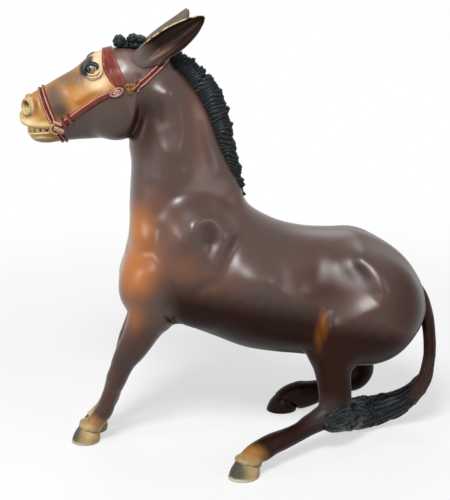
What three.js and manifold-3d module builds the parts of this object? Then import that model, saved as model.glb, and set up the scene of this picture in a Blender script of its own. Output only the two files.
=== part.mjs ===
// Toy farm animal: a mule sitting back on its haunches, in moulded and painted plastic.
// Millimetres. +Z is up, the head looks to -X and the left side faces -Y.
// While it is built, x is measured back from the chest and z up from the ground.

import * as THREE from 'three';
import { mergeVertices } from 'three/addons/utils/BufferGeometryUtils.js';
import Module from 'manifold-3d';

const wasm = await Module();
wasm.setup();

// Trunk
const TRUNK_LENGTH = 137;
const TRUNK_HEIGHT = 66;
const TRUNK_WIDTH = 58;
const RUMP_CLEARANCE = 31.4;

// Neck and head
const NECK_LENGTH = 62;
const NECK_DEPTH = 52;
const NECK_WIDTH = 40;
const HEAD_LENGTH = 66;
const HEAD_DEPTH = 42;
const HEAD_WIDTH = 28;
const EYE_RADIUS = 2.6;
const TEETH_SETBACK = 0.9;

// Ears, mane and forelock
const EAR_LENGTH = 36;
const EAR_WIDTH = 11.6;
const EAR_THICKNESS = 8.4;
const EAR_RIM = 0.9;
const MANE_WIDTH = 7.4;
const LOCK_RELIEF = 0.5;
const FORELOCK_LENGTH = 15;

// Legs and hooves
const LEFT_FORELEG_REACH = 32.6;
const RIGHT_FORELEG_REACH = 30.2;
const FORELEG_SPREAD = 13;
const FORELEG_THICKNESS = 22;
const HINDLEG_REACH = 38;
const HINDLEG_THICKNESS = 26;
const LEFT_HINDLEG_SPREAD = 51;
const RIGHT_HINDLEG_SPREAD = 27.5;
const FORE_HOOF_LENGTH = 13.4;
const FORE_HOOF_WIDTH = 12.4;
const HIND_HOOF_LENGTH = 15;
const HIND_HOOF_WIDTH = 13.6;

// Tail
const TAIL_THICKNESS = 10;
const TUFT_THICKNESS = 15.2;

// Halter
const HALTER_THICKNESS = 1.1;
const STRAP_WIDTH = 3.2;
const BROW_BAND_WIDTH = 6.4;
const RING_RADIUS = 2.2;
const RING_WIRE = 0.8;
const KNOT_LENGTH = 11;
const KNOT_HEIGHT = 5.4;
const KNOT_THICKNESS = 5;

// Moulding and assembly
const BODY_WALL = 2.6;
const HEAD_WALL = 2.2;
const FIT = 0.3;
const LEG_PEG_RADIUS = 4.2;
const HOOF_PEG_RADIUS = 2;
const EAR_PEG_RADIUS = 1.8;
const TAIL_PEG_RADIUS = 2.2;
const BOSS_RADIUS = 3;
const PIN_RADIUS = 1.3;
const PIN_LENGTH = 3;

// How finely the round forms are faceted
const BODY_RINGS = 32;
const BODY_SIDES = 20;
const HEAD_RINGS = 16;
const HEAD_SIDES = 16;
const HOLLOW_RINGS = 22;
const HOLLOW_SIDES = 12;
const LIMB_RINGS = 16;
const LIMB_SIDES = 10;
const EAR_RINGS = 9;
const TUFT_RINGS = 24;
const MANE_RINGS = 30;
const LUMP_SIDES = 10;
const LUMP_RINGS = 7;
const PEG_SIDES = 8;
const WIRE_SIDES = 6;

const LEFT = -1;
const RIGHT = 1;
const SIDES = [['left', LEFT], ['right', RIGHT]];

// Longer than the figure is in any direction, for cuts that run right through it
const CUT_SPAN = TRUNK_LENGTH + TRUNK_WIDTH + NECK_LENGTH + HEAD_LENGTH;

const WITHERS_SHARES = [0.19, 1.2];
const POLL_SHARE = 0.07;

// Each row: top x, top z, bottom x, bottom z, half width, taper of the width towards the top.
// Trunk rows run from the rump to the chest.
const TRUNK_SHARES = [
  [0.999, 0.464, 0.991, 0.340, 0.10, 0],
  [0.978, 0.615, 0.959, 0.225, 0.25, 0],
  [0.926, 0.775, 0.893, 0.092, 0.39, -0.05],
  [0.850, 0.898, 0.820, 0.036, 0.46, -0.08],
  [0.762, 0.978, 0.740, 0.036, 0.47, -0.08],
  [0.674, 0.988, 0.667, 0.070, 0.46, -0.05],
  [0.594, 1.000, 0.601, 0.112, 0.45, 0],
  [0.521, 1.034, 0.499, 0.140, 0.47, -0.05],
  [0.463, 1.087, 0.397, 0.182, 0.49, -0.08],
  [0.423, 1.142, 0.295, 0.268, 0.48, -0.12],
  [0.404, 1.191, 0.200, 0.345, 0.45, -0.18],
  [0.397, 1.232, 0.105, 0.410, 0.41, -0.22],
  [0.393, 1.267, 0.020, 0.517, 0.38, -0.26],
  [0.388, 1.297, 0, 0.661, 0.35, -0.30],
];

// Neck rows carry the same skin on from the chest to the poll.
const NECK_SHARES = [
  [0.504, 0.144, -0.462, -0.381, 0.47, -0.32],
  [0.462, 0.216, -0.418, -0.203, 0.42, -0.34],
  [0.408, 0.313, -0.416, -0.042, 0.39, -0.36],
  [0.354, 0.426, -0.405, 0.119, 0.35, -0.36],
  [0.290, 0.571, -0.395, 0.273, 0.33, -0.34],
  [0.215, 0.700, -0.410, 0.418, 0.33, -0.30],
  [0.123, 0.821, -0.360, 0.571, 0.30, -0.26],
  [0.017, 0.926, -0.300, 0.732, 0.26, -0.20],
  [-0.079, 0.982, -0.262, 0.861, 0.19, 0],
];

// Head rows run from the poll to the nose, with x measured forward.
const HEAD_SHARES = [
  [-0.015, -0.038, 0.076, -0.324, 0.25, 0],
  [0.106, 0.069, 0.136, -0.562, 0.41, -0.05],
  [0.273, 0.117, 0.250, -0.717, 0.47, 0.05],
  [0.409, 0.100, 0.371, -0.800, 0.48, 0.12],
  [0.508, 0.038, 0.485, -0.819, 0.42, 0.14],
  [0.614, -0.095, 0.606, -0.829, 0.34, 0.10],
  [0.720, -0.190, 0.705, -0.843, 0.30, 0.04],
  [0.826, -0.288, 0.803, -0.862, 0.29, -0.02],
  [0.909, -0.367, 0.886, -0.833, 0.29, -0.06],
  [0.958, -0.452, 0.936, -0.729, 0.21, 0],
  [0.979, -0.538, 0.970, -0.633, 0.11, 0],
];

// Muscles: centre along, across and up the trunk, then the three radii, then a lean in turns.
const MUSCLE_SHARES = [
  [0.780, 0.276, 0.495, 0.175, 0.270, 0.360, 0],
  [0.680, 0.330, 0.275, 0.078, 0.165, 0.185, 0],
  [0.251, 0.283, 0.812, 0.140, 0.207, 0.400, 0.05],
  [0.098, 0.185, 0.620, 0.097, 0.185, 0.215, 0],
];

// Cheek, brow and nostril swellings in the same order, on the head.
const FACE_SHARES = [
  [0.348, 0.143, -0.526, 0.189, 0.339, 0.298, 0],
  [0.470, 0.321, -0.050, 0.076, 0.161, 0.095, 0],
  [0.917, 0.196, -0.467, 0.058, 0.121, 0.095, 0],
];
const NOSTRIL_SHARES = [0.930, 0.300, -0.457, 0.034, 0.070, 0.055, -0.04];
const EYE_SHARES = [0.498, 0.385, -0.062];

// Where the hollow inside starts and stops along the rows, and where the neck plug runs.
const BODY_HOLLOW_SHARES = [0.055, 0.985];
const HEAD_HOLLOW_SHARES = [0.10, 0.72];
const NECK_PLUG_SHARES = [[-0.50, 0.52], [0.40, 0.62], [0.10, 0.96], [-0.45, 0.76]];

// Bosses that locate the two halves: along and up the trunk, neck or head.
const TRUNK_BOSS_SHARES = [[0.30, 0.55], [0.76, 0.50]];
const NECK_BOSS_SHARES = [[0.10, 0.12]];
const HEAD_BOSS_SHARES = [[0.36, -0.34]];

// Mane rows: outer edge x and z, root x and z, half width.
const MANE_SHARES = [
  [-0.045, 1.055, -0.100, 0.920, 0.28],
  [0.020, 1.045, -0.055, 0.900, 0.40],
  [0.100, 1.012, -0.005, 0.860, 0.47],
  [0.180, 0.958, 0.045, 0.810, 0.50],
  [0.255, 0.895, 0.095, 0.750, 0.50],
  [0.332, 0.820, 0.150, 0.680, 0.50],
  [0.388, 0.725, 0.200, 0.600, 0.50],
  [0.430, 0.610, 0.250, 0.505, 0.50],
  [0.463, 0.475, 0.300, 0.400, 0.50],
  [0.493, 0.340, 0.345, 0.300, 0.48],
  [0.532, 0.210, 0.390, 0.200, 0.45],
  [0.552, 0.100, 0.425, 0.120, 0.38],
  [0.560, 0.020, 0.450, 0.060, 0.26],
];
const MANE_LOCKS = 13;

// Forelock tufts on the brow: forward, across and up in head sizes, radius in forelock lengths.
const FORELOCK_SHARES = [
  [0.318, 0, 0.200, 0.25],
  [0.235, 0.020, 0.200, 0.27],
  [0.165, 0.010, 0.170, 0.24],
];

// Ear centre line: back, out and up from the root in ear lengths, then half width and thickness.
const EAR_ROOT_SHARES = [0.225, 0.20, -0.060];
const LEFT_EAR_SHARES = [
  [0, 0, 0, 0.36, 0.46],
  [0.130, 0.085, 0.110, 0.44, 0.50],
  [0.300, 0.150, 0.230, 0.50, 0.50],
  [0.480, 0.205, 0.355, 0.50, 0.44],
  [0.650, 0.250, 0.480, 0.38, 0.33],
  [0.765, 0.275, 0.570, 0.20, 0.20],
  [0.815, 0.285, 0.610, 0.06, 0.07],
];
const RIGHT_EAR_SHARES = [
  [0, 0, 0, 0.34, 0.46],
  [0.120, 0.085, 0.095, 0.40, 0.50],
  [0.270, 0.150, 0.200, 0.44, 0.50],
  [0.420, 0.205, 0.315, 0.42, 0.44],
  [0.550, 0.250, 0.440, 0.32, 0.33],
  [0.620, 0.275, 0.545, 0.18, 0.20],
  [0.645, 0.285, 0.605, 0.06, 0.07],
];
const EAR_CUP_SHARES = [0.20, 0.90];
const EAR_CUP_OFFSET_SHARE = 0.42;
const EAR_PEG_SHARE = 0.25;

// Leg stations: forward, across, up, half depth and half width in that leg's own sizes.
const FORELEG_SHARES = [
  [0, 1, 1, 0.50, 0.42],
  [0.134, 0.977, 0.915, 0.423, 0.370],
  [0.212, 0.960, 0.843, 0.364, 0.330],
  [0.284, 0.938, 0.769, 0.323, 0.290],
  [0.369, 0.908, 0.695, 0.291, 0.262],
  [0.462, 0.869, 0.622, 0.250, 0.235],
  [0.528, 0.823, 0.546, 0.218, 0.218],
  [0.584, 0.777, 0.469, 0.200, 0.215],
  [0.644, 0.731, 0.392, 0.175, 0.190],
  [0.700, 0.685, 0.317, 0.168, 0.180],
  [0.745, 0.646, 0.254, 0.175, 0.200],
  [0.808, 0.600, 0.200, 0.178, 0.210],
  [0.885, 0.569, 0.148, 0.182, 0.220],
  [0.975, 0.546, 0.108, 0.215, 0.245],
];
const LEFT_HINDLEG_SHARES = [
  [-0.060, 0.333, 1.098, 0.200, 0.170],
  [-0.072, 0.373, 0.902, 0.360, 0.290],
  [-0.087, 0.392, 0.745, 0.315, 0.262],
  [-0.113, 0.408, 0.588, 0.285, 0.223],
  [-0.121, 0.422, 0.461, 0.277, 0.208],
  [-0.066, 0.441, 0.349, 0.254, 0.204],
  [0.079, 0.476, 0.294, 0.200, 0.185],
  [0.197, 0.520, 0.263, 0.177, 0.173],
  [0.342, 0.598, 0.233, 0.165, 0.165],
  [0.500, 0.696, 0.212, 0.162, 0.162],
  [0.645, 0.784, 0.206, 0.176, 0.169],
  [0.755, 0.853, 0.192, 0.188, 0.188],
  [0.870, 0.908, 0.165, 0.185, 0.190],
  [0.950, 0.955, 0.118, 0.215, 0.230],
];
const RIGHT_HINDLEG_SHARES = [
  [-0.120, 0.640, 1.098, 0.200, 0.170],
  [-0.250, 0.745, 0.882, 0.350, 0.290],
  [-0.395, 0.818, 0.706, 0.308, 0.262],
  [-0.526, 0.873, 0.549, 0.254, 0.223],
  [-0.592, 0.909, 0.412, 0.242, 0.204],
  [-0.526, 0.927, 0.310, 0.215, 0.192],
  [-0.342, 0.938, 0.263, 0.185, 0.177],
  [-0.145, 0.945, 0.212, 0.185, 0.169],
  [0.030, 0.956, 0.168, 0.235, 0.190],
  [0.160, 0.967, 0.150, 0.262, 0.210],
  [0.255, 0.982, 0.139, 0.225, 0.200],
  [0.335, 0.993, 0.118, 0.215, 0.230],
];
const LEFT_ELBOW_SHARES = [0.120, 0.509];
const RIGHT_ELBOW_SHARES = [0.125, 0.509];
const HIP_SHARES = [0.653, 0.297];
const LEG_PEG_SHARE = 0.30;
const ANKLE_LEVEL_SHARE = 0.72;
const ANKLE_START_SHARE = 0.85;
const HOOF_OVERHANG_SHARE = 0.14;
const HOOF_PEG_SHARE = 0.55;

// Tail stations: back from the rump, across by the near hind leg's spread, up, half depth and
// half width.
const RUMP_SHARES = [1, 0.509];
const TAIL_SWEEP_SHARE = 1.136;
const DOCK_SHARES = [
  [-0.141, 0, 1.062, 0.50, 0.50],
  [-0.056, 0, 0.977, 0.41, 0.43],
  [0.007, 0, 0.862, 0.32, 0.35],
  [0.039, 0, 0.738, 0.285, 0.31],
  [0.052, 0, 0.608, 0.28, 0.31],
  [0.048, 0.002, 0.508, 0.26, 0.28],
  [0.026, 0.004, 0.438, 0.20, 0.22],
];
const TUFT_SHARES = [
  [0.052, 0, 0.562, 0.230, 0.255],
  [0.040, 0, 0.470, 0.235, 0.262],
  [0.018, 0.002, 0.382, 0.240, 0.270],
  [-0.041, 0.02, 0.302, 0.275, 0.283],
  [-0.113, 0.039, 0.237, 0.320, 0.303],
  [-0.193, 0.059, 0.188, 0.368, 0.335],
  [-0.302, 0.069, 0.148, 0.421, 0.375],
  [-0.431, 0.059, 0.123, 0.461, 0.414],
  [-0.526, 0, 0.125, 0.487, 0.421],
  [-0.600, -0.098, 0.152, 0.474, 0.401],
  [-0.672, -0.235, 0.178, 0.434, 0.362],
  [-0.739, -0.373, 0.200, 0.382, 0.309],
  [-0.810, -0.49, 0.220, 0.320, 0.250],
  [-0.890, -0.559, 0.240, 0.220, 0.190],
];
const TUFT_LOCKS = 9;

// Halter paths on the side of the head: forward and up in head sizes.
const NOSEBAND_SHARES = [[0.812, -0.190], [0.796, -0.333], [0.777, -0.476], [0.768, -0.590]];
const CHIN_STRAP_SHARES = [[0.752, -0.715], [0.735, -0.790], [0.722, -0.900]];
const CHEEK_STRAP_SHARES = [
  [0.730, -0.650],
  [0.650, -0.585],
  [0.550, -0.495],
  [0.470, -0.420],
  [0.420, -0.330],
];
const BROW_BAND_SHARES = [
  [0.405, 0.260],
  [0.400, 0.110],
  [0.386, 0.010],
  [0.362, -0.105],
  [0.322, -0.215],
];
const CROWN_STRAP_SHARES = [
  [0.265, -0.250],
  [0.190, -0.150],
  [0.115, -0.050],
  [0.075, 0.020],
  [0.060, 0.110],
];
const RING_SHARES = [0.760, 0.290, -0.655];
const KNOT_SHARES = [0.325, 0.440, -0.285];

// Mouth slot: forward and up in head sizes, half height in head depths.
const MOUTH_SHARES = [
  [0.800, -0.698, 0.014],
  [0.870, -0.700, 0.030],
  [0.930, -0.692, 0.042],
  [1.030, -0.668, 0.056],
];

const COLOURS = {
  hide: { color: 0x3a211a, roughness: 0.38 },
  face: { color: 0xa8743f, roughness: 0.42 },
  ear: { color: 0x3b2620, roughness: 0.45 },
  hair: { color: 0x14181b, roughness: 0.5 },
  hoof: { color: 0xb3a27c, roughness: 0.5 },
  leather: { color: 0x7a3029, roughness: 0.4 },
  fitting: { color: 0xb98a55, roughness: 0.42 },
  eye: { color: 0x0c1716, roughness: 0.12 },
  ivory: { color: 0xd9c391, roughness: 0.4 },
};

// Where the neck and then the head start from
const withers = {
  x: TRUNK_LENGTH * WITHERS_SHARES[0],
  z: RUMP_CLEARANCE + TRUNK_HEIGHT * WITHERS_SHARES[1],
};
const poll = {
  x: withers.x - NECK_DEPTH * POLL_SHARE,
  z: withers.z + NECK_LENGTH,
};

// Places on the trunk, neck and head, from shares of their sizes
function onTrunk(along, up) {
  return [TRUNK_LENGTH * along, RUMP_CLEARANCE + TRUNK_HEIGHT * up];
}

function onNeck(along, up) {
  return [withers.x + NECK_DEPTH * along, withers.z + NECK_LENGTH * up];
}

function onHead(forward, up) {
  return [poll.x - HEAD_LENGTH * forward, poll.z + HEAD_DEPTH * up];
}

// A three.js geometry as a closed solid that can be cut and joined
function solidOf(geometry) {
  const bare = geometry.index ? geometry.toNonIndexed() : geometry.clone();
  bare.deleteAttribute('normal');
  bare.deleteAttribute('uv');
  const merged = mergeVertices(bare);
  return new wasm.Manifold(new wasm.Mesh({
    numProp: 3,
    vertProperties: merged.attributes.position.array,
    triVerts: Uint32Array.from(merged.index.array),
  }));
}

function union(solids) {
  return solids.reduce((whole, solid) => whole.add(solid));
}

function cutBy(solid, cutters) {
  return cutters.reduce((rest, cutter) => rest.subtract(cutter), solid);
}

// Rings of equal count joined into one closed skin, with a fan of triangles over each end
function skin(rings) {
  const sides = rings[0].length;
  const positions = rings.flat().flatMap((point) => point.toArray());
  const index = [];
  for (let ring = 0; ring < rings.length - 1; ring += 1) {
    for (let side = 0; side < sides; side += 1) {
      const here = ring * sides + side;
      const beside = ring * sides + (side + 1) % sides;
      index.push(here, beside, here + sides);
      index.push(beside, beside + sides, here + sides);
    }
  }
  [[0, 1], [rings.length - 1, -1]].forEach(([ring, turn]) => {
    const hub = positions.length / 3;
    const middle = new THREE.Vector3();
    rings[ring].forEach((point) => middle.addScaledVector(point, 1 / sides));
    positions.push(...middle.toArray());
    for (let side = 0; side < sides; side += 1) {
      const ends = [ring * sides + side, ring * sides + (side + 1) % sides];
      index.push(hub, ...(turn > 0 ? ends.reverse() : ends));
    }
  });
  const outward = signedVolume(positions, index) > 0;
  const geometry = new THREE.BufferGeometry();
  geometry.setAttribute('position', new THREE.Float32BufferAttribute(positions, 3));
  geometry.setIndex(outward ? index : index.reverse());
  return geometry;
}

function signedVolume(positions, index) {
  let volume = 0;
  for (let corner = 0; corner < index.length; corner += 3) {
    const [a, b, c] = [0, 1, 2].map((step) => (
      new THREE.Vector3().fromArray(positions, index[corner + step] * 3)
    ));
    volume += a.dot(b.cross(c));
  }
  return volume;
}

function curveThrough(points) {
  return new THREE.CatmullRomCurve3(points, false, 'catmullrom');
}

// A skin through rows that each span from a top point to a bottom point in the side view.
// grow moves the whole skin out, or in where it is negative.
function spanSkin(rows, ringCount, sideCount, { grow = 0, from = 0, to = 1, ripple = null } = {}) {
  const tops = curveThrough(rows.map((row) => new THREE.Vector3(row.top[0], 0, row.top[1])));
  const bottoms = curveThrough(rows.map((row) => new THREE.Vector3(row.bottom[0], 0, row.bottom[1])));
  const widths = curveThrough(rows.map((row) => new THREE.Vector3(row.half, row.taper, 0)));
  const spans = [];
  for (let ring = 0; ring <= ringCount; ring += 1) {
    const share = from + (to - from) * ring / ringCount;
    spans.push({
      share,
      top: tops.getPoint(share),
      bottom: bottoms.getPoint(share),
      width: widths.getPoint(share),
    });
  }
  const middles = spans.map((span) => span.top.clone().add(span.bottom).divideScalar(2));
  const rings = spans.map((span, place) => {
    const up = span.top.clone().sub(span.bottom);
    const reach = up.length() / 2 + grow;
    up.normalize();
    const middle = middles[place].clone();
    const isEnd = place === 0 || place === ringCount;
    if (isEnd && grow > 0) {
      const inside = middles[place === 0 ? 1 : ringCount - 1];
      middle.addScaledVector(middle.clone().sub(inside).normalize(), grow);
    }
    const swell = ripple ? ripple(span.share) : 0;
    return ringPoints(sideCount, (across, along) => middle.clone()
      .addScaledVector(up, along * (reach + Math.max(along, 0) * swell))
      .add(new THREE.Vector3(0, across * (span.width.x + grow) * (1 + span.width.y * along), 0)));
  });
  return skin(rings);
}

function ringPoints(sideCount, place) {
  return Array.from({ length: sideCount }, (_, side) => {
    const angle = 2 * Math.PI * side / sideCount;
    return place(Math.sin(angle), Math.cos(angle));
  });
}

// Oval rings along a centre line. level turns the last ring towards the ground.
function tubeRings(stations, ringCount, sideCount, options = {}) {
  const { grow = 0, from = 0, to = 1, level = 0, ripple = null } = options;
  const centres = curveThrough(stations.map((station) => station.at));
  const sizes = curveThrough(stations.map((station) => new THREE.Vector3(station.deep, station.wide, 0)));
  const down = new THREE.Vector3(0, 0, -1);
  const rings = [];
  for (let ring = 0; ring <= ringCount; ring += 1) {
    const share = from + (to - from) * ring / ringCount;
    const size = sizes.getPoint(share);
    const along = centres.getTangent(share);
    const turn = level * THREE.MathUtils.smoothstep(share, ANKLE_START_SHARE, 1);
    along.lerp(down, turn).normalize();
    const side = new THREE.Vector3(0, 1, 0);
    side.addScaledVector(along, -side.dot(along)).normalize();
    const back = along.clone().cross(side);
    const swell = grow + (ripple ? ripple(share) : 0);
    const isEnd = ring === 0 || ring === ringCount;
    const push = isEnd ? grow * (ring === 0 ? -1 : 1) : 0;
    const middle = centres.getPoint(share).addScaledVector(along, push);
    rings.push({
      middle,
      along,
      side,
      back,
      points: ringPoints(sideCount, (across, deep) => middle.clone()
        .addScaledVector(back, deep * (size.x + swell))
        .addScaledVector(side, across * (size.y + swell))),
    });
  }
  return rings;
}

function tube(stations, ringCount, sideCount, options) {
  return solidOf(skin(tubeRings(stations, ringCount, sideCount, options).map((ring) => ring.points)));
}

// A straight round rod from one point to another
function rod(start, end, radius, grow = 0) {
  const along = end.clone().sub(start);
  const length = along.length() + 2 * grow;
  const geometry = new THREE.CylinderGeometry(radius + grow, radius + grow, length, PEG_SIDES);
  const turn = new THREE.Quaternion().setFromUnitVectors(new THREE.Vector3(0, 1, 0), along.normalize());
  geometry.applyQuaternion(turn);
  const middle = start.clone().add(end).divideScalar(2);
  geometry.translate(middle.x, middle.y, middle.z);
  return solidOf(geometry);
}

// An egg-shaped swelling, leaning about the cross axis by a part of a turn
function lump(centre, radii, lean = 0, grow = 0) {
  const geometry = new THREE.SphereGeometry(1, LUMP_SIDES, LUMP_RINGS);
  geometry.rotateX(Math.PI / 2);
  geometry.scale(radii.x + grow, radii.y + grow, radii.z + grow);
  geometry.rotateY(2 * Math.PI * lean);
  geometry.translate(centre.x, centre.y, centre.z);
  return solidOf(geometry);
}

// A flat outline in the side view, run across the whole figure
function acrossSlab(outline) {
  const shape = new THREE.Shape(outline.map(([x, z]) => new THREE.Vector2(x, z)));
  const geometry = new THREE.ExtrudeGeometry(shape, { depth: CUT_SPAN, bevelEnabled: false });
  geometry.rotateX(Math.PI / 2);
  geometry.translate(0, CUT_SPAN / 2, 0);
  return solidOf(geometry);
}

// The outline of a band along a path in the side view, with a half width at each point
function bandOutline(path, halves, grow = 0) {
  const centres = path.map(([x, z]) => new THREE.Vector2(x, z));
  const last = centres.length - 1;
  const edges = centres.map((centre, place) => {
    const along = centres[Math.min(place + 1, last)].clone().sub(centres[Math.max(place - 1, 0)]);
    along.normalize();
    const across = new THREE.Vector2(-along.y, along.x);
    const push = place === 0 ? -grow : (place === last ? grow : 0);
    const middle = centre.clone().addScaledVector(along, push);
    const reach = halves[place] + grow;
    return [1, -1].map((sign) => middle.clone().addScaledVector(across, sign * reach).toArray());
  });
  return [...edges.map((edge) => edge[0]), ...edges.map((edge) => edge[1]).reverse()];
}

// One side of the seam plane, kept half a fit away from it
function halfOf(side) {
  const geometry = new THREE.BoxGeometry(2 * CUT_SPAN, CUT_SPAN, 2 * CUT_SPAN);
  geometry.translate(0, side * (CUT_SPAN + FIT) / 2, 0);
  return solidOf(geometry);
}

function aboveGround() {
  const geometry = new THREE.BoxGeometry(2 * CUT_SPAN, 2 * CUT_SPAN, CUT_SPAN);
  geometry.translate(0, 0, CUT_SPAN / 2);
  return solidOf(geometry);
}

// Rows of the trunk and neck as one skin
const bodyRows = [
  ...TRUNK_SHARES.map((row) => ({
    top: onTrunk(row[0], row[1]),
    bottom: onTrunk(row[2], row[3]),
    half: TRUNK_WIDTH * row[4],
    taper: row[5],
  })),
  ...NECK_SHARES.map((row) => ({
    top: onNeck(row[0], row[1]),
    bottom: onNeck(row[2], row[3]),
    half: NECK_WIDTH * row[4],
    taper: row[5],
  })),
];

const headRows = HEAD_SHARES.map((row) => ({
  top: onHead(row[0], row[1]),
  bottom: onHead(row[2], row[3]),
  half: HEAD_WIDTH * row[4],
  taper: row[5],
}));

const maneRows = MANE_SHARES.map((row) => ({
  top: onNeck(row[0], row[1]),
  bottom: onNeck(row[2], row[3]),
  half: MANE_WIDTH * row[4],
  taper: 0,
}));

function trunkLump([along, out, up, length, width, height, lean], side, grow) {
  const [x, z] = onTrunk(along, up);
  const radii = new THREE.Vector3(TRUNK_LENGTH * length, TRUNK_WIDTH * width, TRUNK_HEIGHT * height);
  return lump(new THREE.Vector3(x, side * TRUNK_WIDTH * out, z), radii, lean, grow);
}

function headLump([forward, out, up, length, width, height, lean], side, grow) {
  const [x, z] = onHead(forward, up);
  const radii = new THREE.Vector3(HEAD_LENGTH * length, HEAD_WIDTH * width, HEAD_DEPTH * height);
  return lump(new THREE.Vector3(x, side * HEAD_WIDTH * out, z), radii, lean, grow);
}

// The outside of the trunk and neck, moved out by grow
function bodyForm(grow) {
  const skinSolid = solidOf(spanSkin(bodyRows, BODY_RINGS, BODY_SIDES, { grow }));
  const muscles = SIDES.flatMap(([, side]) => MUSCLE_SHARES.map((row) => trunkLump(row, side, grow)));
  return union([skinSolid, ...muscles]);
}

// The outside of the head, moved out by grow
function headForm(grow) {
  const skinSolid = solidOf(spanSkin(headRows, HEAD_RINGS, HEAD_SIDES, { grow }));
  const swellings = SIDES.flatMap(([, side]) => FACE_SHARES.map((row) => headLump(row, side, grow)));
  return union([skinSolid, ...swellings]);
}

// Legs
const hip = onTrunk(...HIP_SHARES);

function forelegStations(side) {
  const elbow = onTrunk(...(side === LEFT ? LEFT_ELBOW_SHARES : RIGHT_ELBOW_SHARES));
  const reach = side === LEFT ? LEFT_FORELEG_REACH : RIGHT_FORELEG_REACH;
  return FORELEG_SHARES.map(([forward, out, up, deep, wide]) => ({
    at: new THREE.Vector3(elbow[0] - reach * forward, side * FORELEG_SPREAD * out, elbow[1] * up),
    deep: FORELEG_THICKNESS * deep,
    wide: FORELEG_THICKNESS * wide,
  }));
}

function hindlegStations(shares, side, spread) {
  return shares.map(([forward, out, up, deep, wide]) => ({
    at: new THREE.Vector3(hip[0] - HINDLEG_REACH * forward, side * spread * out, hip[1] * up),
    deep: HINDLEG_THICKNESS * deep,
    wide: HINDLEG_THICKNESS * wide,
  }));
}

const foreSole = { length: FORE_HOOF_LENGTH, width: FORE_HOOF_WIDTH };
const hindSole = { length: HIND_HOOF_LENGTH, width: HIND_HOOF_WIDTH };
const legs = [
  {
    name: 'left_foreleg',
    side: LEFT,
    hoof: 'left_fore_hoof',
    sole: foreSole,
    stations: forelegStations(LEFT),
  },
  {
    name: 'right_foreleg',
    side: RIGHT,
    hoof: 'right_fore_hoof',
    sole: foreSole,
    stations: forelegStations(RIGHT),
  },
  {
    name: 'left_hind_leg',
    side: LEFT,
    hoof: 'left_hind_hoof',
    sole: hindSole,
    stations: hindlegStations(LEFT_HINDLEG_SHARES, LEFT, LEFT_HINDLEG_SPREAD),
  },
  {
    name: 'right_hind_leg',
    side: RIGHT,
    hoof: 'right_hind_hoof',
    sole: hindSole,
    stations: hindlegStations(RIGHT_HINDLEG_SHARES, RIGHT, RIGHT_HINDLEG_SPREAD),
  },
];

// The peg that enters the body, along the top of the leg
function legPeg(leg, grow) {
  const inner = leg.stations[0].at.clone();
  const outer = curveThrough(leg.stations.map((station) => station.at)).getPoint(LEG_PEG_SHARE);
  const lift = inner.clone().sub(outer).normalize();
  return rod(inner.addScaledVector(lift, LEG_PEG_RADIUS), outer, LEG_PEG_RADIUS, grow);
}

function legForm(leg, grow) {
  return tube(leg.stations, LIMB_RINGS, LIMB_SIDES, { grow, level: ANKLE_LEVEL_SHARE });
}

function ankleOf(leg) {
  return tubeRings(leg.stations, LIMB_RINGS, LIMB_SIDES, { level: ANKLE_LEVEL_SHARE }).at(-1);
}

function hoofPeg(leg, grow) {
  const ankle = ankleOf(leg);
  const start = ankle.middle.clone().addScaledVector(ankle.along, -HOOF_PEG_RADIUS);
  const end = ankle.middle.clone().addScaledVector(ankle.along, ankle.middle.z * HOOF_PEG_SHARE);
  return rod(start, end, HOOF_PEG_RADIUS, grow);
}

// A hoof runs from the ring where the leg ends to an oval sole flat on the ground
function hoofForm(leg) {
  const ankle = ankleOf(leg);
  const toe = ankle.along.clone().setZ(0).normalize();
  const side = new THREE.Vector3(0, 1, 0);
  side.addScaledVector(toe, -side.dot(toe)).normalize();
  const { length, width } = leg.sole;
  const heart = ankle.middle.clone().setZ(0).addScaledVector(toe, length * HOOF_OVERHANG_SHARE);
  const sole = ringPoints(LIMB_SIDES, (across, back) => heart.clone()
    .addScaledVector(toe, -back * length / 2)
    .addScaledVector(side, across * width / 2));
  const crown = ankle.points.map((point) => point.clone().addScaledVector(ankle.along, FIT));
  const waist = crown.map((point, place) => point.clone().add(sole[place]).divideScalar(2));
  return solidOf(skin([crown, waist, sole]));
}

// Ears
const earRoot = onHead(EAR_ROOT_SHARES[0], EAR_ROOT_SHARES[2]);

function earStations(side) {
  return (side === LEFT ? LEFT_EAR_SHARES : RIGHT_EAR_SHARES).map(([back, out, up, wide, thick]) => ({
    at: new THREE.Vector3(
      earRoot[0] + EAR_LENGTH * back,
      side * (HEAD_WIDTH * EAR_ROOT_SHARES[1] + EAR_LENGTH * out),
      earRoot[1] + EAR_LENGTH * up,
    ),
    deep: EAR_WIDTH * wide,
    wide: EAR_THICKNESS * thick,
  }));
}

function earForm(side, grow) {
  return tube(earStations(side), EAR_RINGS, LIMB_SIDES, { grow });
}

// The open inside of an ear, which breaks out through its outer face
function earCup(side) {
  const stations = earStations(side).map((station) => ({
    at: station.at.clone().add(new THREE.Vector3(0, side * EAR_THICKNESS * EAR_CUP_OFFSET_SHARE, 0)),
    deep: station.deep - EAR_RIM,
    wide: station.wide,
  }));
  const [from, to] = EAR_CUP_SHARES;
  return tube(stations, EAR_RINGS, LIMB_SIDES, { from, to });
}

function earPeg(side, grow) {
  const centres = curveThrough(earStations(side).map((station) => station.at));
  const start = centres.getPoint(0);
  const end = centres.getPoint(EAR_PEG_SHARE);
  return rod(start, end, EAR_PEG_RADIUS, grow);
}

// Tail
const rump = onTrunk(...RUMP_SHARES);

const tailSweep = (rump[0] - hip[0]) * TAIL_SWEEP_SHARE;

function tailStations(shares, thickness) {
  return shares.map(([back, out, up, deep, wide]) => ({
    at: new THREE.Vector3(rump[0] + tailSweep * back, LEFT_HINDLEG_SPREAD * out, rump[1] * up),
    deep: thickness * deep,
    wide: thickness * wide,
  }));
}

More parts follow.
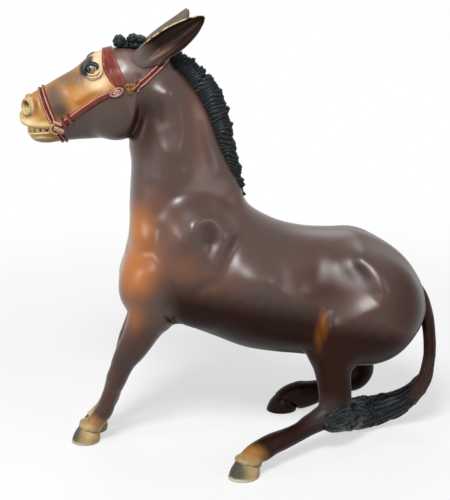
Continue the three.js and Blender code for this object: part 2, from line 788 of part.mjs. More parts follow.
const dockStations = tailStations(DOCK_SHARES, TAIL_THICKNESS);
const tuftStations = tailStations(TUFT_SHARES, TUFT_THICKNESS);

function dockForm(grow) {
  return tube(dockStations, LIMB_RINGS, LIMB_SIDES, { grow });
}

function dockPeg(grow) {
  const start = dockStations[1].at.clone().lerp(dockStations[0].at, 2);
  return rod(start, dockStations[2].at, TAIL_PEG_RADIUS, grow);
}

function locks(count) {
  return (share) => LOCK_RELIEF * Math.sin(2 * Math.PI * count * share);
}

// Halter
function onHeadPath(shares) {
  return shares.map(([forward, up]) => onHead(forward, up));
}

function headPoint([forward, out, up], side) {
  const [x, z] = onHead(forward, up);
  return new THREE.Vector3(x, side * HEAD_WIDTH * out, z);
}

function nearHide(grow) {
  return headForm(grow).add(bodyForm(grow));
}

const strapTop = nearHide(FIT + HALTER_THICKNESS);
const strapLayer = strapTop.subtract(nearHide(FIT));

function strap(shares, width) {
  const path = onHeadPath(shares);
  const outline = bandOutline(path, path.map(() => width / 2));
  return strapLayer.intersect(acrossSlab(outline));
}

// Everything that a strap and a fit round it take up, for cutting the hair clear of it
function strapRoom(shares, width) {
  const path = onHeadPath(shares);
  const outline = bandOutline(path, path.map(() => width / 2), FIT);
  return nearHide(HALTER_THICKNESS + 2 * FIT).add(strapTop).intersect(acrossSlab(outline));
}

function ringForm(side, grow) {
  const geometry = new THREE.TorusGeometry(RING_RADIUS, RING_WIRE + grow, WIRE_SIDES, LIMB_SIDES);
  geometry.rotateX(Math.PI / 2);
  const centre = headPoint(RING_SHARES, side);
  geometry.translate(centre.x, centre.y, centre.z);
  return solidOf(geometry);
}

function knotForm(side, grow) {
  const radii = new THREE.Vector3(KNOT_LENGTH, KNOT_THICKNESS, KNOT_HEIGHT).divideScalar(2);
  return lump(headPoint(KNOT_SHARES, side), radii, 0, grow);
}

// Mouth
function mouthSlab(grow) {
  const path = MOUTH_SHARES.map(([forward, up]) => onHead(forward, up));
  const halves = MOUTH_SHARES.map((row) => HEAD_DEPTH * row[2]);
  return acrossSlab(bandOutline(path, halves, grow));
}

// Seam bosses: a pin on the left half enters a socket on the right half
const bossPlaces = [
  ...TRUNK_BOSS_SHARES.map((place) => ({ part: 'body', at: onTrunk(...place) })),
  ...NECK_BOSS_SHARES.map((place) => ({ part: 'body', at: onNeck(...place) })),
  ...HEAD_BOSS_SHARES.map((place) => ({ part: 'head', at: onHead(...place) })),
];

function bossPoint([x, z], y) {
  return new THREE.Vector3(x, y, z);
}

function bosses(part, form) {
  const across = TRUNK_WIDTH;
  const rods = bossPlaces.filter((place) => place.part === part)
    .map(({ at }) => rod(bossPoint(at, -across), bossPoint(at, across), BOSS_RADIUS));
  return union(rods).intersect(form);
}

function seamPins(part, grow) {
  const rods = bossPlaces.filter((place) => place.part === part)
    .map(({ at }) => rod(bossPoint(at, -PIN_LENGTH), bossPoint(at, PIN_LENGTH), PIN_RADIUS, grow));
  return union(rods);
}

function seamHalf(whole, part, side) {
  const half = whole.intersect(halfOf(side));
  return side === LEFT ? half.add(seamPins(part, 0)) : half.subtract(seamPins(part, FIT));
}

// The body and the head, hollow, with bosses inside
function bodyHollow(clearance) {
  const [from, to] = BODY_HOLLOW_SHARES;
  const grow = -BODY_WALL - clearance;
  return solidOf(spanSkin(bodyRows, HOLLOW_RINGS, HOLLOW_SIDES, { grow, from, to }));
}

function hollowBody() {
  const walls = bodyForm(0).subtract(bodyHollow(0)).add(bosses('body', bodyForm(-FIT)));
  return cutBy(walls, [
    headForm(FIT),
    dockPeg(FIT),
    ...legs.map((leg) => legPeg(leg, FIT)),
  ]);
}

// The plug under the head, which slides down inside the top of the neck
function neckPlug() {
  return bodyHollow(FIT).intersect(acrossSlab(NECK_PLUG_SHARES.map((corner) => onNeck(...corner))));
}

function hollowHead() {
  const [from, to] = HEAD_HOLLOW_SHARES;
  const grow = -HEAD_WALL;
  const hollow = solidOf(spanSkin(headRows, HOLLOW_RINGS / 2, HOLLOW_SIDES, { grow, from, to }));
  const walls = headForm(0).add(neckPlug()).subtract(hollow).add(bosses('head', headForm(-FIT)));
  const cuts = SIDES.flatMap(([, side]) => [
    eyeForm(side, FIT),
    headLump(NOSTRIL_SHARES, side, 0),
    earPeg(side, FIT),
  ]);
  return cutBy(walls, [mouthSlab(0), ...cuts]);
}

function eyeForm(side, grow) {
  const radii = new THREE.Vector3(EYE_RADIUS, EYE_RADIUS, EYE_RADIUS);
  return lump(headPoint(EYE_SHARES, side), radii, 0, grow);
}

// Pieces
const figure = new THREE.Group();

function addPiece(name, solid, finish) {
  const mesh = solid.getMesh();
  const geometry = new THREE.BufferGeometry();
  const positions = new Float32Array(mesh.numVert * 3);
  for (let vertex = 0; vertex < mesh.numVert; vertex += 1) {
    for (let axis = 0; axis < 3; axis += 1) {
      positions[vertex * 3 + axis] = mesh.vertProperties[vertex * mesh.numProp + axis];
    }
  }
  geometry.setAttribute('position', new THREE.BufferAttribute(positions, 3));
  geometry.setIndex(new THREE.BufferAttribute(Uint32Array.from(mesh.triVerts), 1));
  geometry.computeVertexNormals();
  const paint = new THREE.MeshStandardMaterial({ ...COLOURS[finish], metalness: 0 });
  const piece = new THREE.Mesh(geometry, paint);
  piece.name = name;
  figure.add(piece);
}

const hideClearance = bodyForm(FIT).add(bodyForm(0));
const headClearance = headForm(FIT).add(headForm(0));
const legClearances = legs.map((leg) => legForm(leg, FIT).add(legForm(leg, 0)));
const crownRoom = strapRoom(CROWN_STRAP_SHARES, STRAP_WIDTH);
const browRoom = strapRoom(BROW_BAND_SHARES, BROW_BAND_WIDTH);

function addShells() {
  const body = hollowBody();
  const head = hollowHead();
  SIDES.forEach(([word, side]) => {
    addPiece(`${word}_body_shell`, seamHalf(body, 'body', side), 'hide');
    addPiece(`${word}_head_shell`, seamHalf(head, 'head', side), 'face');
  });
}

function addLegs() {
  legs.forEach((leg, place) => {
    const limb = legForm(leg, 0).subtract(hideClearance);
    addPiece(leg.name, union([limb, legPeg(leg, 0), hoofPeg(leg, 0)]), 'hide');
    const hoof = hoofForm(leg).intersect(halfOf(leg.side));
    addPiece(leg.hoof, cutBy(hoof, [hoofPeg(leg, FIT), legClearances[place]]), 'hoof');
  });
}

function addTail() {
  const dock = dockForm(0).subtract(hideClearance).add(dockPeg(0));
  addPiece('tail_dock', dock, 'hide');
  const hair = tube(tuftStations, TUFT_RINGS, LIMB_SIDES, { ripple: locks(TUFT_LOCKS) });
  const tuft = cutBy(hair, [dockForm(FIT), ...legClearances]).intersect(aboveGround());
  addPiece('tail_tuft', tuft, 'hair');
}

function addHair() {
  const crest = solidOf(spanSkin(maneRows, MANE_RINGS, LIMB_SIDES, { ripple: locks(MANE_LOCKS) }));
  const ears = SIDES.map(([, side]) => earForm(side, FIT));
  addPiece('mane', cutBy(crest, [hideClearance, headClearance, crownRoom, ...ears]), 'hair');
  const tufts = FORELOCK_SHARES.map(([forward, out, up, radius]) => {
    const reach = FORELOCK_LENGTH * radius;
    return lump(headPoint([forward, out, up], RIGHT), new THREE.Vector3(reach, reach, reach));
  });
  addPiece('forelock', cutBy(union(tufts), [headClearance, browRoom, ...ears]), 'hair');
}

function addEars() {
  SIDES.forEach(([word, side]) => {
    const shell = cutBy(earForm(side, 0), [earCup(side), headClearance, hideClearance, crownRoom]);
    addPiece(`${word}_ear`, shell.add(earPeg(side, 0)), 'ear');
  });
}

function addFace() {
  SIDES.forEach(([word, side]) => {
    addPiece(`${word}_eye`, eyeForm(side, 0), 'eye');
  });
  const teeth = headForm(-TEETH_SETBACK).intersect(mouthSlab(-FIT));
  addPiece('teeth', teeth, 'ivory');
}

function addHalter() {
  const rings = SIDES.map(([, side]) => ringForm(side, FIT));
  const knots = SIDES.map(([, side]) => knotForm(side, FIT));
  addPiece('noseband', cutBy(strap(NOSEBAND_SHARES, STRAP_WIDTH), rings), 'leather');
  addPiece('chin_strap', cutBy(strap(CHIN_STRAP_SHARES, STRAP_WIDTH), rings), 'leather');
  addPiece('brow_band', cutBy(strap(BROW_BAND_SHARES, BROW_BAND_WIDTH), knots), 'leather');
  addPiece('crown_strap', cutBy(strap(CROWN_STRAP_SHARES, STRAP_WIDTH), knots), 'leather');
  const cheeks = cutBy(strap(CHEEK_STRAP_SHARES, STRAP_WIDTH), [...rings, ...knots]);
  SIDES.forEach(([word, side]) => {
    addPiece(`${word}_cheek_strap`, cheeks.intersect(halfOf(side)), 'leather');
    addPiece(`${word}_halter_ring`, ringForm(side, 0).subtract(headClearance), 'fitting');
    addPiece(`${word}_halter_knot`, cutBy(knotForm(side, 0), [headClearance, hideClearance]), 'fitting');
  });
}

addShells();
addLegs();
addTail();
addHair();
addEars();
addFace();
addHalter();

// The origin goes to the middle of the footprint, at ground level
const box = new THREE.Box3().setFromObject(figure);
const middle = box.getCenter(new THREE.Vector3());
figure.position.set(-middle.x, -middle.y, -box.min.z);
figure.updateMatrixWorld(true);

export default figure;
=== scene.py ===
"""Painted plastic mule figurine, sitting back on its haunches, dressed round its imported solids.

Lengths in the tables are millimetres or shares of the figure's own sizes, in the frame of the
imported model: +Z up, the head towards -X, the near side towards -Y. Meshes are written in metres.
"""

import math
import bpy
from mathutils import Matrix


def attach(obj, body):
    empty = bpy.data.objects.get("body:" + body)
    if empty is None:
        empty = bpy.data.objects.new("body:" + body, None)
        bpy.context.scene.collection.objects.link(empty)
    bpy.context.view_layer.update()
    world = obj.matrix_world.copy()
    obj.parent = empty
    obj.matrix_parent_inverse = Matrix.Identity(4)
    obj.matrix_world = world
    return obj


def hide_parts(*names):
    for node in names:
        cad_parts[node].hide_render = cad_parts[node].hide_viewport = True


bl_info = {
    "name": "Seated mule figurine",
    "version": (1, 0, 0),
    "blender": (4, 5, 0),
    "location": "View3D > Sidebar > Mule",
    "description": "Builds the painted hide, hair, halter and hooves of a seated mule figurine",
    "category": "Object",
}

import bmesh
import bpy
import numpy as np
import openvdb as vdb
from mathutils import Vector

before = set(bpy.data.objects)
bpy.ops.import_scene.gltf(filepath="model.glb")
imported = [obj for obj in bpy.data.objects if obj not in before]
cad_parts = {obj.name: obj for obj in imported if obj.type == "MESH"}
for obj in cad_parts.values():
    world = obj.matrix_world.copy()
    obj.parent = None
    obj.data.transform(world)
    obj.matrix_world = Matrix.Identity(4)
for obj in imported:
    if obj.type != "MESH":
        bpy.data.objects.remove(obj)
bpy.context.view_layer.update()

MM = 0.001
START_X = -50.572
MID_Y = 11.360

# Main sizes of the figure
TRUNK = (137, 66, 58)
RUMP_CLEARANCE = 31.4
NECK = (52, 62, 40)
HEAD = (66, 42, 28)
WITHERS_SHARES = (0.19, 1.2)
POLL_SHARE = 0.07
LEFT, RIGHT = -1, 1
SIDES = (("left", LEFT), ("right", RIGHT))
UP, SIDEWAYS = np.array([0, 0, 1.0]), np.array([0, 1.0, 0])

# Rows: top x, top z, bottom x, bottom z, half width, taper of the width towards the top
TRUNK_SHARES = (
    (0.999, 0.464, 0.991, 0.340, 0.10, 0),
    (0.978, 0.615, 0.959, 0.225, 0.25, 0),
    (0.926, 0.775, 0.893, 0.092, 0.39, -0.05),
    (0.850, 0.898, 0.820, 0.036, 0.46, -0.08),
    (0.762, 0.978, 0.740, 0.036, 0.47, -0.08),
    (0.674, 0.988, 0.667, 0.070, 0.46, -0.05),
    (0.594, 1.000, 0.601, 0.112, 0.45, 0),
    (0.521, 1.034, 0.499, 0.140, 0.47, -0.05),
    (0.463, 1.087, 0.397, 0.182, 0.49, -0.08),
    (0.423, 1.142, 0.295, 0.268, 0.48, -0.12),
    (0.404, 1.191, 0.200, 0.345, 0.45, -0.18),
    (0.397, 1.232, 0.105, 0.410, 0.41, -0.22),
    (0.393, 1.267, 0.020, 0.517, 0.38, -0.26),
    (0.388, 1.297, 0, 0.661, 0.35, -0.30),
)
NECK_SHARES = (
    (0.504, 0.144, -0.462, -0.381, 0.47, -0.32),
    (0.462, 0.216, -0.418, -0.203, 0.42, -0.34),
    (0.408, 0.313, -0.416, -0.042, 0.39, -0.36),
    (0.354, 0.426, -0.405, 0.119, 0.35, -0.36),
    (0.290, 0.571, -0.395, 0.273, 0.33, -0.34),
    (0.215, 0.700, -0.410, 0.418, 0.33, -0.30),
    (0.123, 0.821, -0.360, 0.571, 0.30, -0.26),
    (0.017, 0.926, -0.300, 0.732, 0.26, -0.20),
    (-0.079, 0.982, -0.262, 0.861, 0.19, 0),
)
HEAD_SHARES = (
    (-0.015, -0.038, 0.076, -0.324, 0.25, 0),
    (0.106, 0.069, 0.136, -0.562, 0.41, -0.05),
    (0.273, 0.117, 0.250, -0.717, 0.47, 0.05),
    (0.409, 0.100, 0.371, -0.800, 0.48, 0.12),
    (0.508, 0.038, 0.485, -0.819, 0.42, 0.14),
    (0.614, -0.095, 0.606, -0.829, 0.34, 0.10),
    (0.720, -0.190, 0.705, -0.843, 0.30, 0.04),
    (0.826, -0.288, 0.803, -0.862, 0.29, -0.02),
    (0.909, -0.367, 0.886, -0.833, 0.29, -0.06),
    (0.958, -0.452, 0.936, -0.729, 0.21, 0),
    (0.979, -0.538, 0.970, -0.633, 0.11, 0),
)

# Muscles: centre along, across and up, then the three radii, as shares of the trunk or head
MUSCLE_SHARES = (
    (0.780, 0.276, 0.495, 0.175, 0.270, 0.360),
    (0.680, 0.330, 0.275, 0.078, 0.165, 0.185),
    (0.251, 0.283, 0.812, 0.140, 0.207, 0.400),
    (0.098, 0.185, 0.620, 0.097, 0.185, 0.215),
)
FACE_SHARES = (
    (0.348, 0.143, -0.526, 0.189, 0.339, 0.298),
    (0.470, 0.321, -0.050, 0.076, 0.161, 0.095),
    (0.917, 0.196, -0.467, 0.058, 0.121, 0.095),
)

# Leg stations: forward, across, up, half depth and half width in that leg's own sizes
FORELEG_SHARES = (
    (0, 1, 1, 0.50, 0.42),
    (0.134, 0.977, 0.915, 0.423, 0.370),
    (0.212, 0.960, 0.843, 0.364, 0.330),
    (0.284, 0.938, 0.769, 0.323, 0.290),
    (0.369, 0.908, 0.695, 0.291, 0.262),
    (0.462, 0.869, 0.622, 0.250, 0.235),
    (0.528, 0.823, 0.546, 0.218, 0.218),
    (0.584, 0.777, 0.469, 0.200, 0.215),
    (0.644, 0.731, 0.392, 0.175, 0.190),
    (0.700, 0.685, 0.317, 0.168, 0.180),
    (0.745, 0.646, 0.254, 0.175, 0.200),
    (0.808, 0.600, 0.200, 0.178, 0.210),
    (0.885, 0.569, 0.148, 0.182, 0.220),
    (0.975, 0.546, 0.108, 0.215, 0.245),
)
LEFT_HINDLEG_SHARES = (
    (-0.060, 0.333, 1.098, 0.200, 0.170),
    (-0.072, 0.373, 0.902, 0.360, 0.290),
    (-0.087, 0.392, 0.745, 0.315, 0.262),
    (-0.113, 0.408, 0.588, 0.285, 0.223),
    (-0.121, 0.422, 0.461, 0.277, 0.208),
    (-0.066, 0.441, 0.349, 0.254, 0.204),
    (0.079, 0.476, 0.294, 0.200, 0.185),
    (0.197, 0.520, 0.263, 0.177, 0.173),
    (0.342, 0.598, 0.233, 0.165, 0.165),
    (0.500, 0.696, 0.212, 0.162, 0.162),
    (0.645, 0.784, 0.206, 0.176, 0.169),
    (0.755, 0.853, 0.192, 0.188, 0.188),
    (0.870, 0.908, 0.165, 0.185, 0.190),
    (0.950, 0.955, 0.118, 0.215, 0.230),
)
RIGHT_HINDLEG_SHARES = (
    (-0.120, 0.640, 1.098, 0.200, 0.170),
    (-0.250, 0.745, 0.882, 0.350, 0.290),
    (-0.395, 0.818, 0.706, 0.308, 0.262),
    (-0.526, 0.873, 0.549, 0.254, 0.223),
    (-0.592, 0.909, 0.412, 0.242, 0.204),
    (-0.526, 0.927, 0.310, 0.215, 0.192),
    (-0.342, 0.938, 0.263, 0.185, 0.177),
    (-0.145, 0.945, 0.212, 0.185, 0.169),
    (0.030, 0.956, 0.168, 0.235, 0.190),
    (0.160, 0.967, 0.150, 0.262, 0.210),
    (0.255, 0.982, 0.139, 0.225, 0.200),
    (0.335, 0.993, 0.118, 0.215, 0.230),
)
ELBOW_SHARES = {LEFT: (0.120, 0.509), RIGHT: (0.125, 0.509)}
FORELEG_REACH = {LEFT: 32.6, RIGHT: 30.2}
FORELEG_SPREAD = 13
FORELEG_THICKNESS = 22
HIP_SHARES = (0.653, 0.297)
HINDLEG_REACH = 38
HINDLEG_THICKNESS = 26
HINDLEG_SPREAD = {LEFT: 51, RIGHT: 27.5}
FORE_SOLE = (13.4, 12.4)
HIND_SOLE = (15, 13.6)
SOLE_OVERHANG_SHARE = 0.14
ANKLE_LEVEL_SHARE = 0.72
ANKLE_START_SHARE = 0.85

# Tail stations: back from the rump, across, up, half depth and half width
RUMP_SHARES = (1, 0.509)
TAIL_SWEEP_SHARE = 1.136
TAIL_THICKNESS = 10
TUFT_THICKNESS = 15.2
DOCK_SHARES = (
    (-0.141, 0, 1.062, 0.50, 0.50),
    (-0.056, 0, 0.977, 0.41, 0.43),
    (0.007, 0, 0.862, 0.32, 0.35),
    (0.039, 0, 0.738, 0.285, 0.31),
    (0.052, 0, 0.608, 0.28, 0.31),
    (0.048, 0.002, 0.508, 0.26, 0.28),
    (0.026, 0.004, 0.438, 0.20, 0.22),
)
TUFT_SHARES = (
    (0.052, 0, 0.562, 0.230, 0.255),
    (0.040, 0, 0.470, 0.235, 0.262),
    (0.018, 0.002, 0.382, 0.240, 0.270),
    (-0.041, 0.020, 0.302, 0.275, 0.283),
    (-0.113, 0.039, 0.237, 0.320, 0.303),
    (-0.193, 0.059, 0.188, 0.368, 0.335),
    (-0.302, 0.069, 0.148, 0.421, 0.375),
    (-0.431, 0.059, 0.123, 0.461, 0.414),
    (-0.526, 0, 0.125, 0.487, 0.421),
    (-0.600, -0.098, 0.152, 0.474, 0.401),
    (-0.672, -0.235, 0.178, 0.434, 0.362),
    (-0.739, -0.373, 0.200, 0.382, 0.309),
    (-0.810, -0.490, 0.220, 0.320, 0.250),
    (-0.890, -0.559, 0.240, 0.220, 0.190),
)

# How the first stations of the tuft are drawn in, and how many locks lie on it and on the hock
TUFT_NECK = (0.72, 0.78, 0.88, 0.96)
TAIL_LOCKS, HOCK_LOCKS = 52, 15

# Upper and lower edge, in the side view, of the hair that lies over the near hock
HOCK_HAIR_HIGH = (
    (60.5, 17.5),
    (54.5, 19.5),
    (49.4, 22.0),
    (46.2, 22.6),
    (43.3, 20.4),
    (39.9, 18.4),
    (37.0, 16.0),
)
HOCK_HAIR_LOW = (
    (60.5, 9.5),
    (55.5, 11.6),
    (50.1, 13.2),
    (46.5, 14.3),
    (43.3, 14.4),
    (39.9, 14.2),
    (37.0, 14.9),
)

# Mane rows: outer edge x and z, root x and z, half width
MANE_WIDTH = 7.4
MANE_SHARES = (
    (-0.045, 1.055, -0.100, 0.920, 0.28),
    (0.020, 1.045, -0.055, 0.900, 0.40),
    (0.100, 1.012, -0.005, 0.860, 0.47),
    (0.180, 0.958, 0.045, 0.810, 0.50),
    (0.255, 0.895, 0.095, 0.750, 0.50),
    (0.332, 0.820, 0.150, 0.680, 0.50),
    (0.388, 0.725, 0.200, 0.600, 0.50),
    (0.430, 0.610, 0.250, 0.505, 0.50),
    (0.463, 0.475, 0.300, 0.400, 0.50),
    (0.493, 0.340, 0.345, 0.300, 0.48),
    (0.532, 0.210, 0.390, 0.200, 0.45),
    (0.552, 0.100, 0.425, 0.120, 0.38),
    (0.560, 0.020, 0.450, 0.060, 0.26),
)

# Forelock clumps: middle, radii, lean, folds and twist
FORELOCK_CLUMPS = (
    ((-49.3, 11.0, 180.0), (2.7, 4.2, 2.8), 0.2, 7, 1.8),
    ((-46.2, 11.5, 178.6), (2.2, 4.0, 1.8), 0.4, 6, 1.2),
    ((-43.6, 11.2, 181.0), (2.6, 4.4, 2.2), 0.3, 8, 1.5),
    ((-40.2, 11.6, 180.6), (2.9, 4.2, 1.9), -0.3, 8, 1.6),
    ((-41.8, 11.4, 178.6), (4.6, 4.6, 2.0), -0.1, 7, 1.2),
)

# Ear stations: back, out and up from the root in ear lengths, then half width and thickness
EAR_LENGTH, EAR_WIDTH, EAR_THICKNESS = 36, 11.6, 8.4
EAR_ROOT_SHARES = (0.225, 0.20, -0.060)
EAR_SHARES = {
    LEFT: (
        (0, 0, 0, 0.36, 0.46),
        (0.130, 0.085, 0.110, 0.44, 0.50),
        (0.300, 0.150, 0.230, 0.50, 0.50),
        (0.480, 0.205, 0.355, 0.50, 0.44),
        (0.650, 0.250, 0.480, 0.38, 0.33),
        (0.765, 0.275, 0.570, 0.20, 0.20),
        (0.815, 0.285, 0.610, 0.06, 0.07),
    ),
    RIGHT: (
        (0, 0, 0, 0.34, 0.46),
        (0.120, 0.085, 0.095, 0.40, 0.50),
        (0.270, 0.150, 0.200, 0.44, 0.50),
        (0.420, 0.205, 0.315, 0.42, 0.44),
        (0.550, 0.250, 0.440, 0.32, 0.33),
        (0.620, 0.275, 0.545, 0.18, 0.20),
        (0.645, 0.285, 0.605, 0.06, 0.07),
    ),
}
EYE_SHARES = (0.498, 0.385, -0.062)
EYE_RADIUS = 2.6

# Teeth: how many, the turn from one to the next, the middle of their arc and its radii
TEETH, TOOTH_TURN = 11, 0.36
TOOTH_MIDDLE, TOOTH_ARC = (-81.2, MID_Y, 142.9), (7.4, 4.9, 0)

# The cut between the body skin and the head skin, through the crease behind the jaw
NECK_CUT_POINT = (-46.6, MID_Y, 136.0)
NECK_CUT_NORMAL = (-0.982, 0, 0.190)

# Modelled relief on both flanks: its name, path of x and z in the side view, width and height
HAUNCH_EDGE = (
    (55, 89), (58, 86.3), (61.2, 82.0), (63.4, 75.4), (62.2, 69.3), (54.2, 65.8), (47.1, 61.8), (41.1, 57.2)
)
BODY_RELIEF = (
    ("wing of the atlas", ((-31.0, 158.8),), 6.3, 2.6),
    ("neck cord", ((-27.1, 159.7), (-23.9, 151.9), (-22.7, 143.4), (-23.8, 133.7), (-22.5, 126)), 3.4, 1.2),
    ("neck hollow", ((-34.6, 153.6), (-31.1, 148.4)), 3.8, -1.0),
    ("neck swell", ((-29.4, 134), (-30.5, 124)), 6.2, 2.6),
    ("crest plane", ((-19.3, 152.7), (-16.7, 142.8), (-13, 128)), 4.0, -0.7),
    ("crest swell", ((-12.5, 147), (-11.4, 138.9), (-8, 126)), 3.6, 0.6),
    ("throat groove", ((-36.5, 149), (-37.0, 135.4), (-35, 121)), 3.2, -0.6),
    ("shoulder plane", ((-21.0, 106.5),), 10.5, 2.7),
    ("shoulder plane low", ((-24.2, 100.5),), 5.0, 0.8),
    ("shoulder point", ((-22.9, 97.1),), 3.6, 0.9),
    ("blade arch", ((-18.7, 105.6), (-15.1, 107.6), (-10.6, 106.9), (-6.2, 101.4)), 2.8, 0.75),
    ("blade front", ((-18.8, 101.6), (-17.6, 97.5), (-14.5, 91.3), (-10.9, 88.8)), 2.6, 0.7),
    ("blade hollow", ((-12.8, 102.4), (-12.0, 98)), 3.6, -1.1),
    ("upper arm edge", ((-2.8, 100.4), (-6.5, 96.2), (-9.2, 91.1), (-10.2, 84.7)), 3.4, 1.0),
    ("upper arm groove", ((1.6, 99), (-2.4, 93), (-5.2, 87), (-8.5, 81.5), (-14.5, 77.0)), 3.0, -1.0),
    ("rib swell", ((7.4, 80.8),), 9.0, 3.2),
    ("rib edge", ((15, 80), (17.4, 76.0), (21.5, 72.8), (26.8, 71.6), (31.0, 73.2)), 4.6, 1.5),
    ("hip point", ((43.5, 88.4), (49.0, 90.2)), 6.2, 1.1),
    ("hip hollow", ((50.8, 84.2),), 6.4, -0.9),
    ("haunch edge", HAUNCH_EDGE, 4.8, 2.0),
    ("haunch plane", ((44, 69), (52.8, 74.9)), 7.5, -0.9),
    ("flank hollow", ((34.5, 67), (37.0, 71.1)), 4.6, -0.7),
    ("flank fold", ((38.0, 67), (35.8, 60), (34.0, 53), (32.5, 47)), 2.4, -1.1),
    ("stifle", ((40.3, 61.5),), 3.6, 0.8),
    ("breast high", ((-42.1, 98.9),), 5.6, 1.1),
    ("breast division", ((-46, 89.5), (-41, 89.8), (-38, 91)), 3.4, -0.7),
    ("breast low", ((-41.2, 82.5), (-41.5, 76)), 6.0, 1.2),
    ("breast groove", ((-33.5, 101), (-35.0, 93.1), (-32.2, 84.6), (-31, 76)), 3.2, -0.9),
    ("elbow fold", ((-21, 76), (-17.2, 77.0), (-13, 80)), 2.4, -0.8),
    ("elbow crease", ((-27.5, 70), (-28.6, 64), (-28.4, 58)), 2.4, -0.7),
    ("forearm swell", ((-44, 56), (-49, 45)), 3.4, 0.7),
    ("forearm groove", ((-38.5, 55), (-44.5, 45), (-48, 38)), 1.8, -0.45),
    ("knee", ((-55.5, 32.0), (-54.5, 28)), 2.8, 0.6),
    ("shin groove", ((-54.6, 25.5), (-57.5, 19)), 1.4, -0.4),
    ("fetlock knob", ((-57.5, 14.0),), 2.0, 0.5),
    ("hind tendon", ((11, 13.0), (16.9, 15.0), (24, 17.5)), 1.8, 0.5),
    ("hind groove", ((12.5, 10.6), (19, 12.6), (26, 15.6)), 1.6, -0.5),
    ("hock point", ((46, 25), (42, 22)), 2.6, 0.6),
)
HEAD_RELIEF = (
    ("jaw crease", ((-41.2, 166), (-41, 160.3), (-40.9, 153.4), (-41.9, 147.2), (-44.6, 140.6)), 1.3, -0.95),
    ("jowl", ((-53, 151.5), (-47.5, 152.5)), 6.0, 0.8),
    ("cheek crest", ((-58.0, 162.0), (-62.4, 159.6), (-67.0, 156.2)), 1.5, 0.6),
    ("cheek hollow", ((-60, 157.8), (-66, 153.6)), 2.2, -0.45),
    ("tear hollow", ((-66.5, 163.5), (-70.5, 160.2)), 2.4, -0.55),
    ("temple hollow", ((-50.0, 171.5),), 2.6, -0.5),
    ("nose bone", ((-70, 165.5), (-79, 160.5)), 1.8, 0.45),
    ("muzzle hollow", ((-82.0, 151.5), (-84, 155)), 2.4, -0.6),
    ("upper lip", ((-91.5, 146.6), (-87.5, 145.6), (-82.5, 145.2), (-79, 145.4)), 1.1, 0.55),
    ("lower lip", ((-88.5, 141.8), (-84.5, 142.0), (-80.5, 141.8)), 0.9, 0.5),
    ("chin fold", ((-88.5, 139.9), (-86, 140.4), (-82.9, 140.9), (-78.4, 140.0)), 0.75, -0.8),
)
MOUTH_PATH = ((-79.6, 142.9), (-82.5, 142.9), (-85.5, 143.0), (-89.5, 143.3), (-96, 143.6))
MOUTH_HALVES = (0.3, 0.8, 1.2, 1.5, 1.8)

# Straps that go round the head: x, z and full width from top to bottom in the side view
BAND_LINES = {
    "nose_band": ((-84.2, 163.5, 3.6), (-83.1, 160.3, 3.8), (-80.6, 153.5, 3.8), (-77.9, 146.4, 3.5)),
    "brow_strap": (
        (-54.9, 180.0, 4.2),
        (-54.6, 177.3, 4.6),
        (-54.0, 174.7, 5.8),
        (-53.0, 171.3, 6.8),
        (-51.5, 167.7, 7.2),
        (-50.0, 164.6, 6.2),
        (-49.2, 163.0, 4.4),
    ),
    "crown_band": (
        (-25.5, 181.0, 3.6),
        (-26.5, 176.0, 3.6),
        (-30.3, 171.6, 3.6),
        (-33.8, 168.9, 3.6),
        (-37.4, 165.9, 3.6),
        (-41.8, 162.0, 3.6),
        (-43.5, 160.5, 3.6),
    ),
    "chin_band": ((-76.9, 142.6, 3.0), (-75.2, 140.2, 3.2), (-73.6, 137.5, 3.4), (-72.5, 134, 3.4)),
}
CHEEK_LINE = ((-76.0, 145.0), (-74.6, 145.9), (-70.1, 148.7), (-63.4, 153.5), (-56.8, 158.0), (-52.6, 160.0))

# Touches of paint that the panel leaves alone, as linear red, green and blue
SPECK = (0.62, 0.60, 0.56)
DUSK = (0.065, 0.060, 0.058)
# Painted shadow behind the nostril's rim, and painted shade inside the nostril, darkest at its top
NOSTRIL_SHADOW = (0.26, 0.11, 0.02)
NOSTRIL_INNER_SHADE = (0.40, 0.34, 0.17)
NOSTRIL_TOP_SHADE = (0.16, 0.09, 0.02)
HOOF_DARK = (0.03, 0.035, 0.03)
HOOF_RIM = (0.72, 0.66, 0.48)
HAIR_ROOT = (0.075, 0.036, 0.026)
# Painted light on the lower fold inside the ear
EAR_FOLD_LIGHT = (0.24, 0.13, 0.10)
EYE_GLINT = (0.22, 0.30, 0.33)
PUPIL = (0, 0, 0)
BRUSH_MARK_HEIGHT = 0.06
LACQUER_IOR = 1.62

# Marks of paint on both flanks: place with y from the middle plane, radii, soft edge, strength
RUSSET_MARKS = (
    ((-29, 20, 99), (7, 14, 12), 0.7, 0.8),
    ((-25, 24, 86), (10, 14, 10), 0.7, 0.8),
    ((-42, 12, 58), (9, 14, 16), 0.7, 0.6),
    ((-56, 8, 28), (6, 8, 16), 0.6, 0.6),
    ((-8, 26, 80), (9, 14, 10), 0.8, 0.5),
    ((42, 30, 46), (9, 14, 16), 0.7, 0.7),
    ((66, 28, 62), (16, 20, 16), 0.8, 0.35),
    ((-17, 10, 143), (5, 14, 26), 0.8, 0.5),
    ((-37, 14, 110), (9, 14, 10), 0.7, 0.7),
    ((-4, 16, 112), (7, 12, 8), 0.8, 0.4),
)
# Painted shade in hollows of the hip, shoulder and neck
HOLLOW_SHADE_MARKS = (
    ((51, 26, 83.5), (6.5, 12, 5.5), 0.6, 0.85),
    ((-12, 24, 100), (4, 10, 6), 0.5, 0.5),
    ((-4, 22, 112), (5, 12, 6), 0.5, 0.5),
    ((-33, 12, 152), (3, 10, 7), 0.5, 0.5),
)
# Painted shade in the crease behind the jaw and low on the rump
THROAT_SHADE_MARK = ((-38.5, 8, 147), (6, 14, 12), 0.7, 0.8)
RUMP_SHADE_MARK = ((78, 20, 66), (18, 30, 26), 0.7, 0.7)
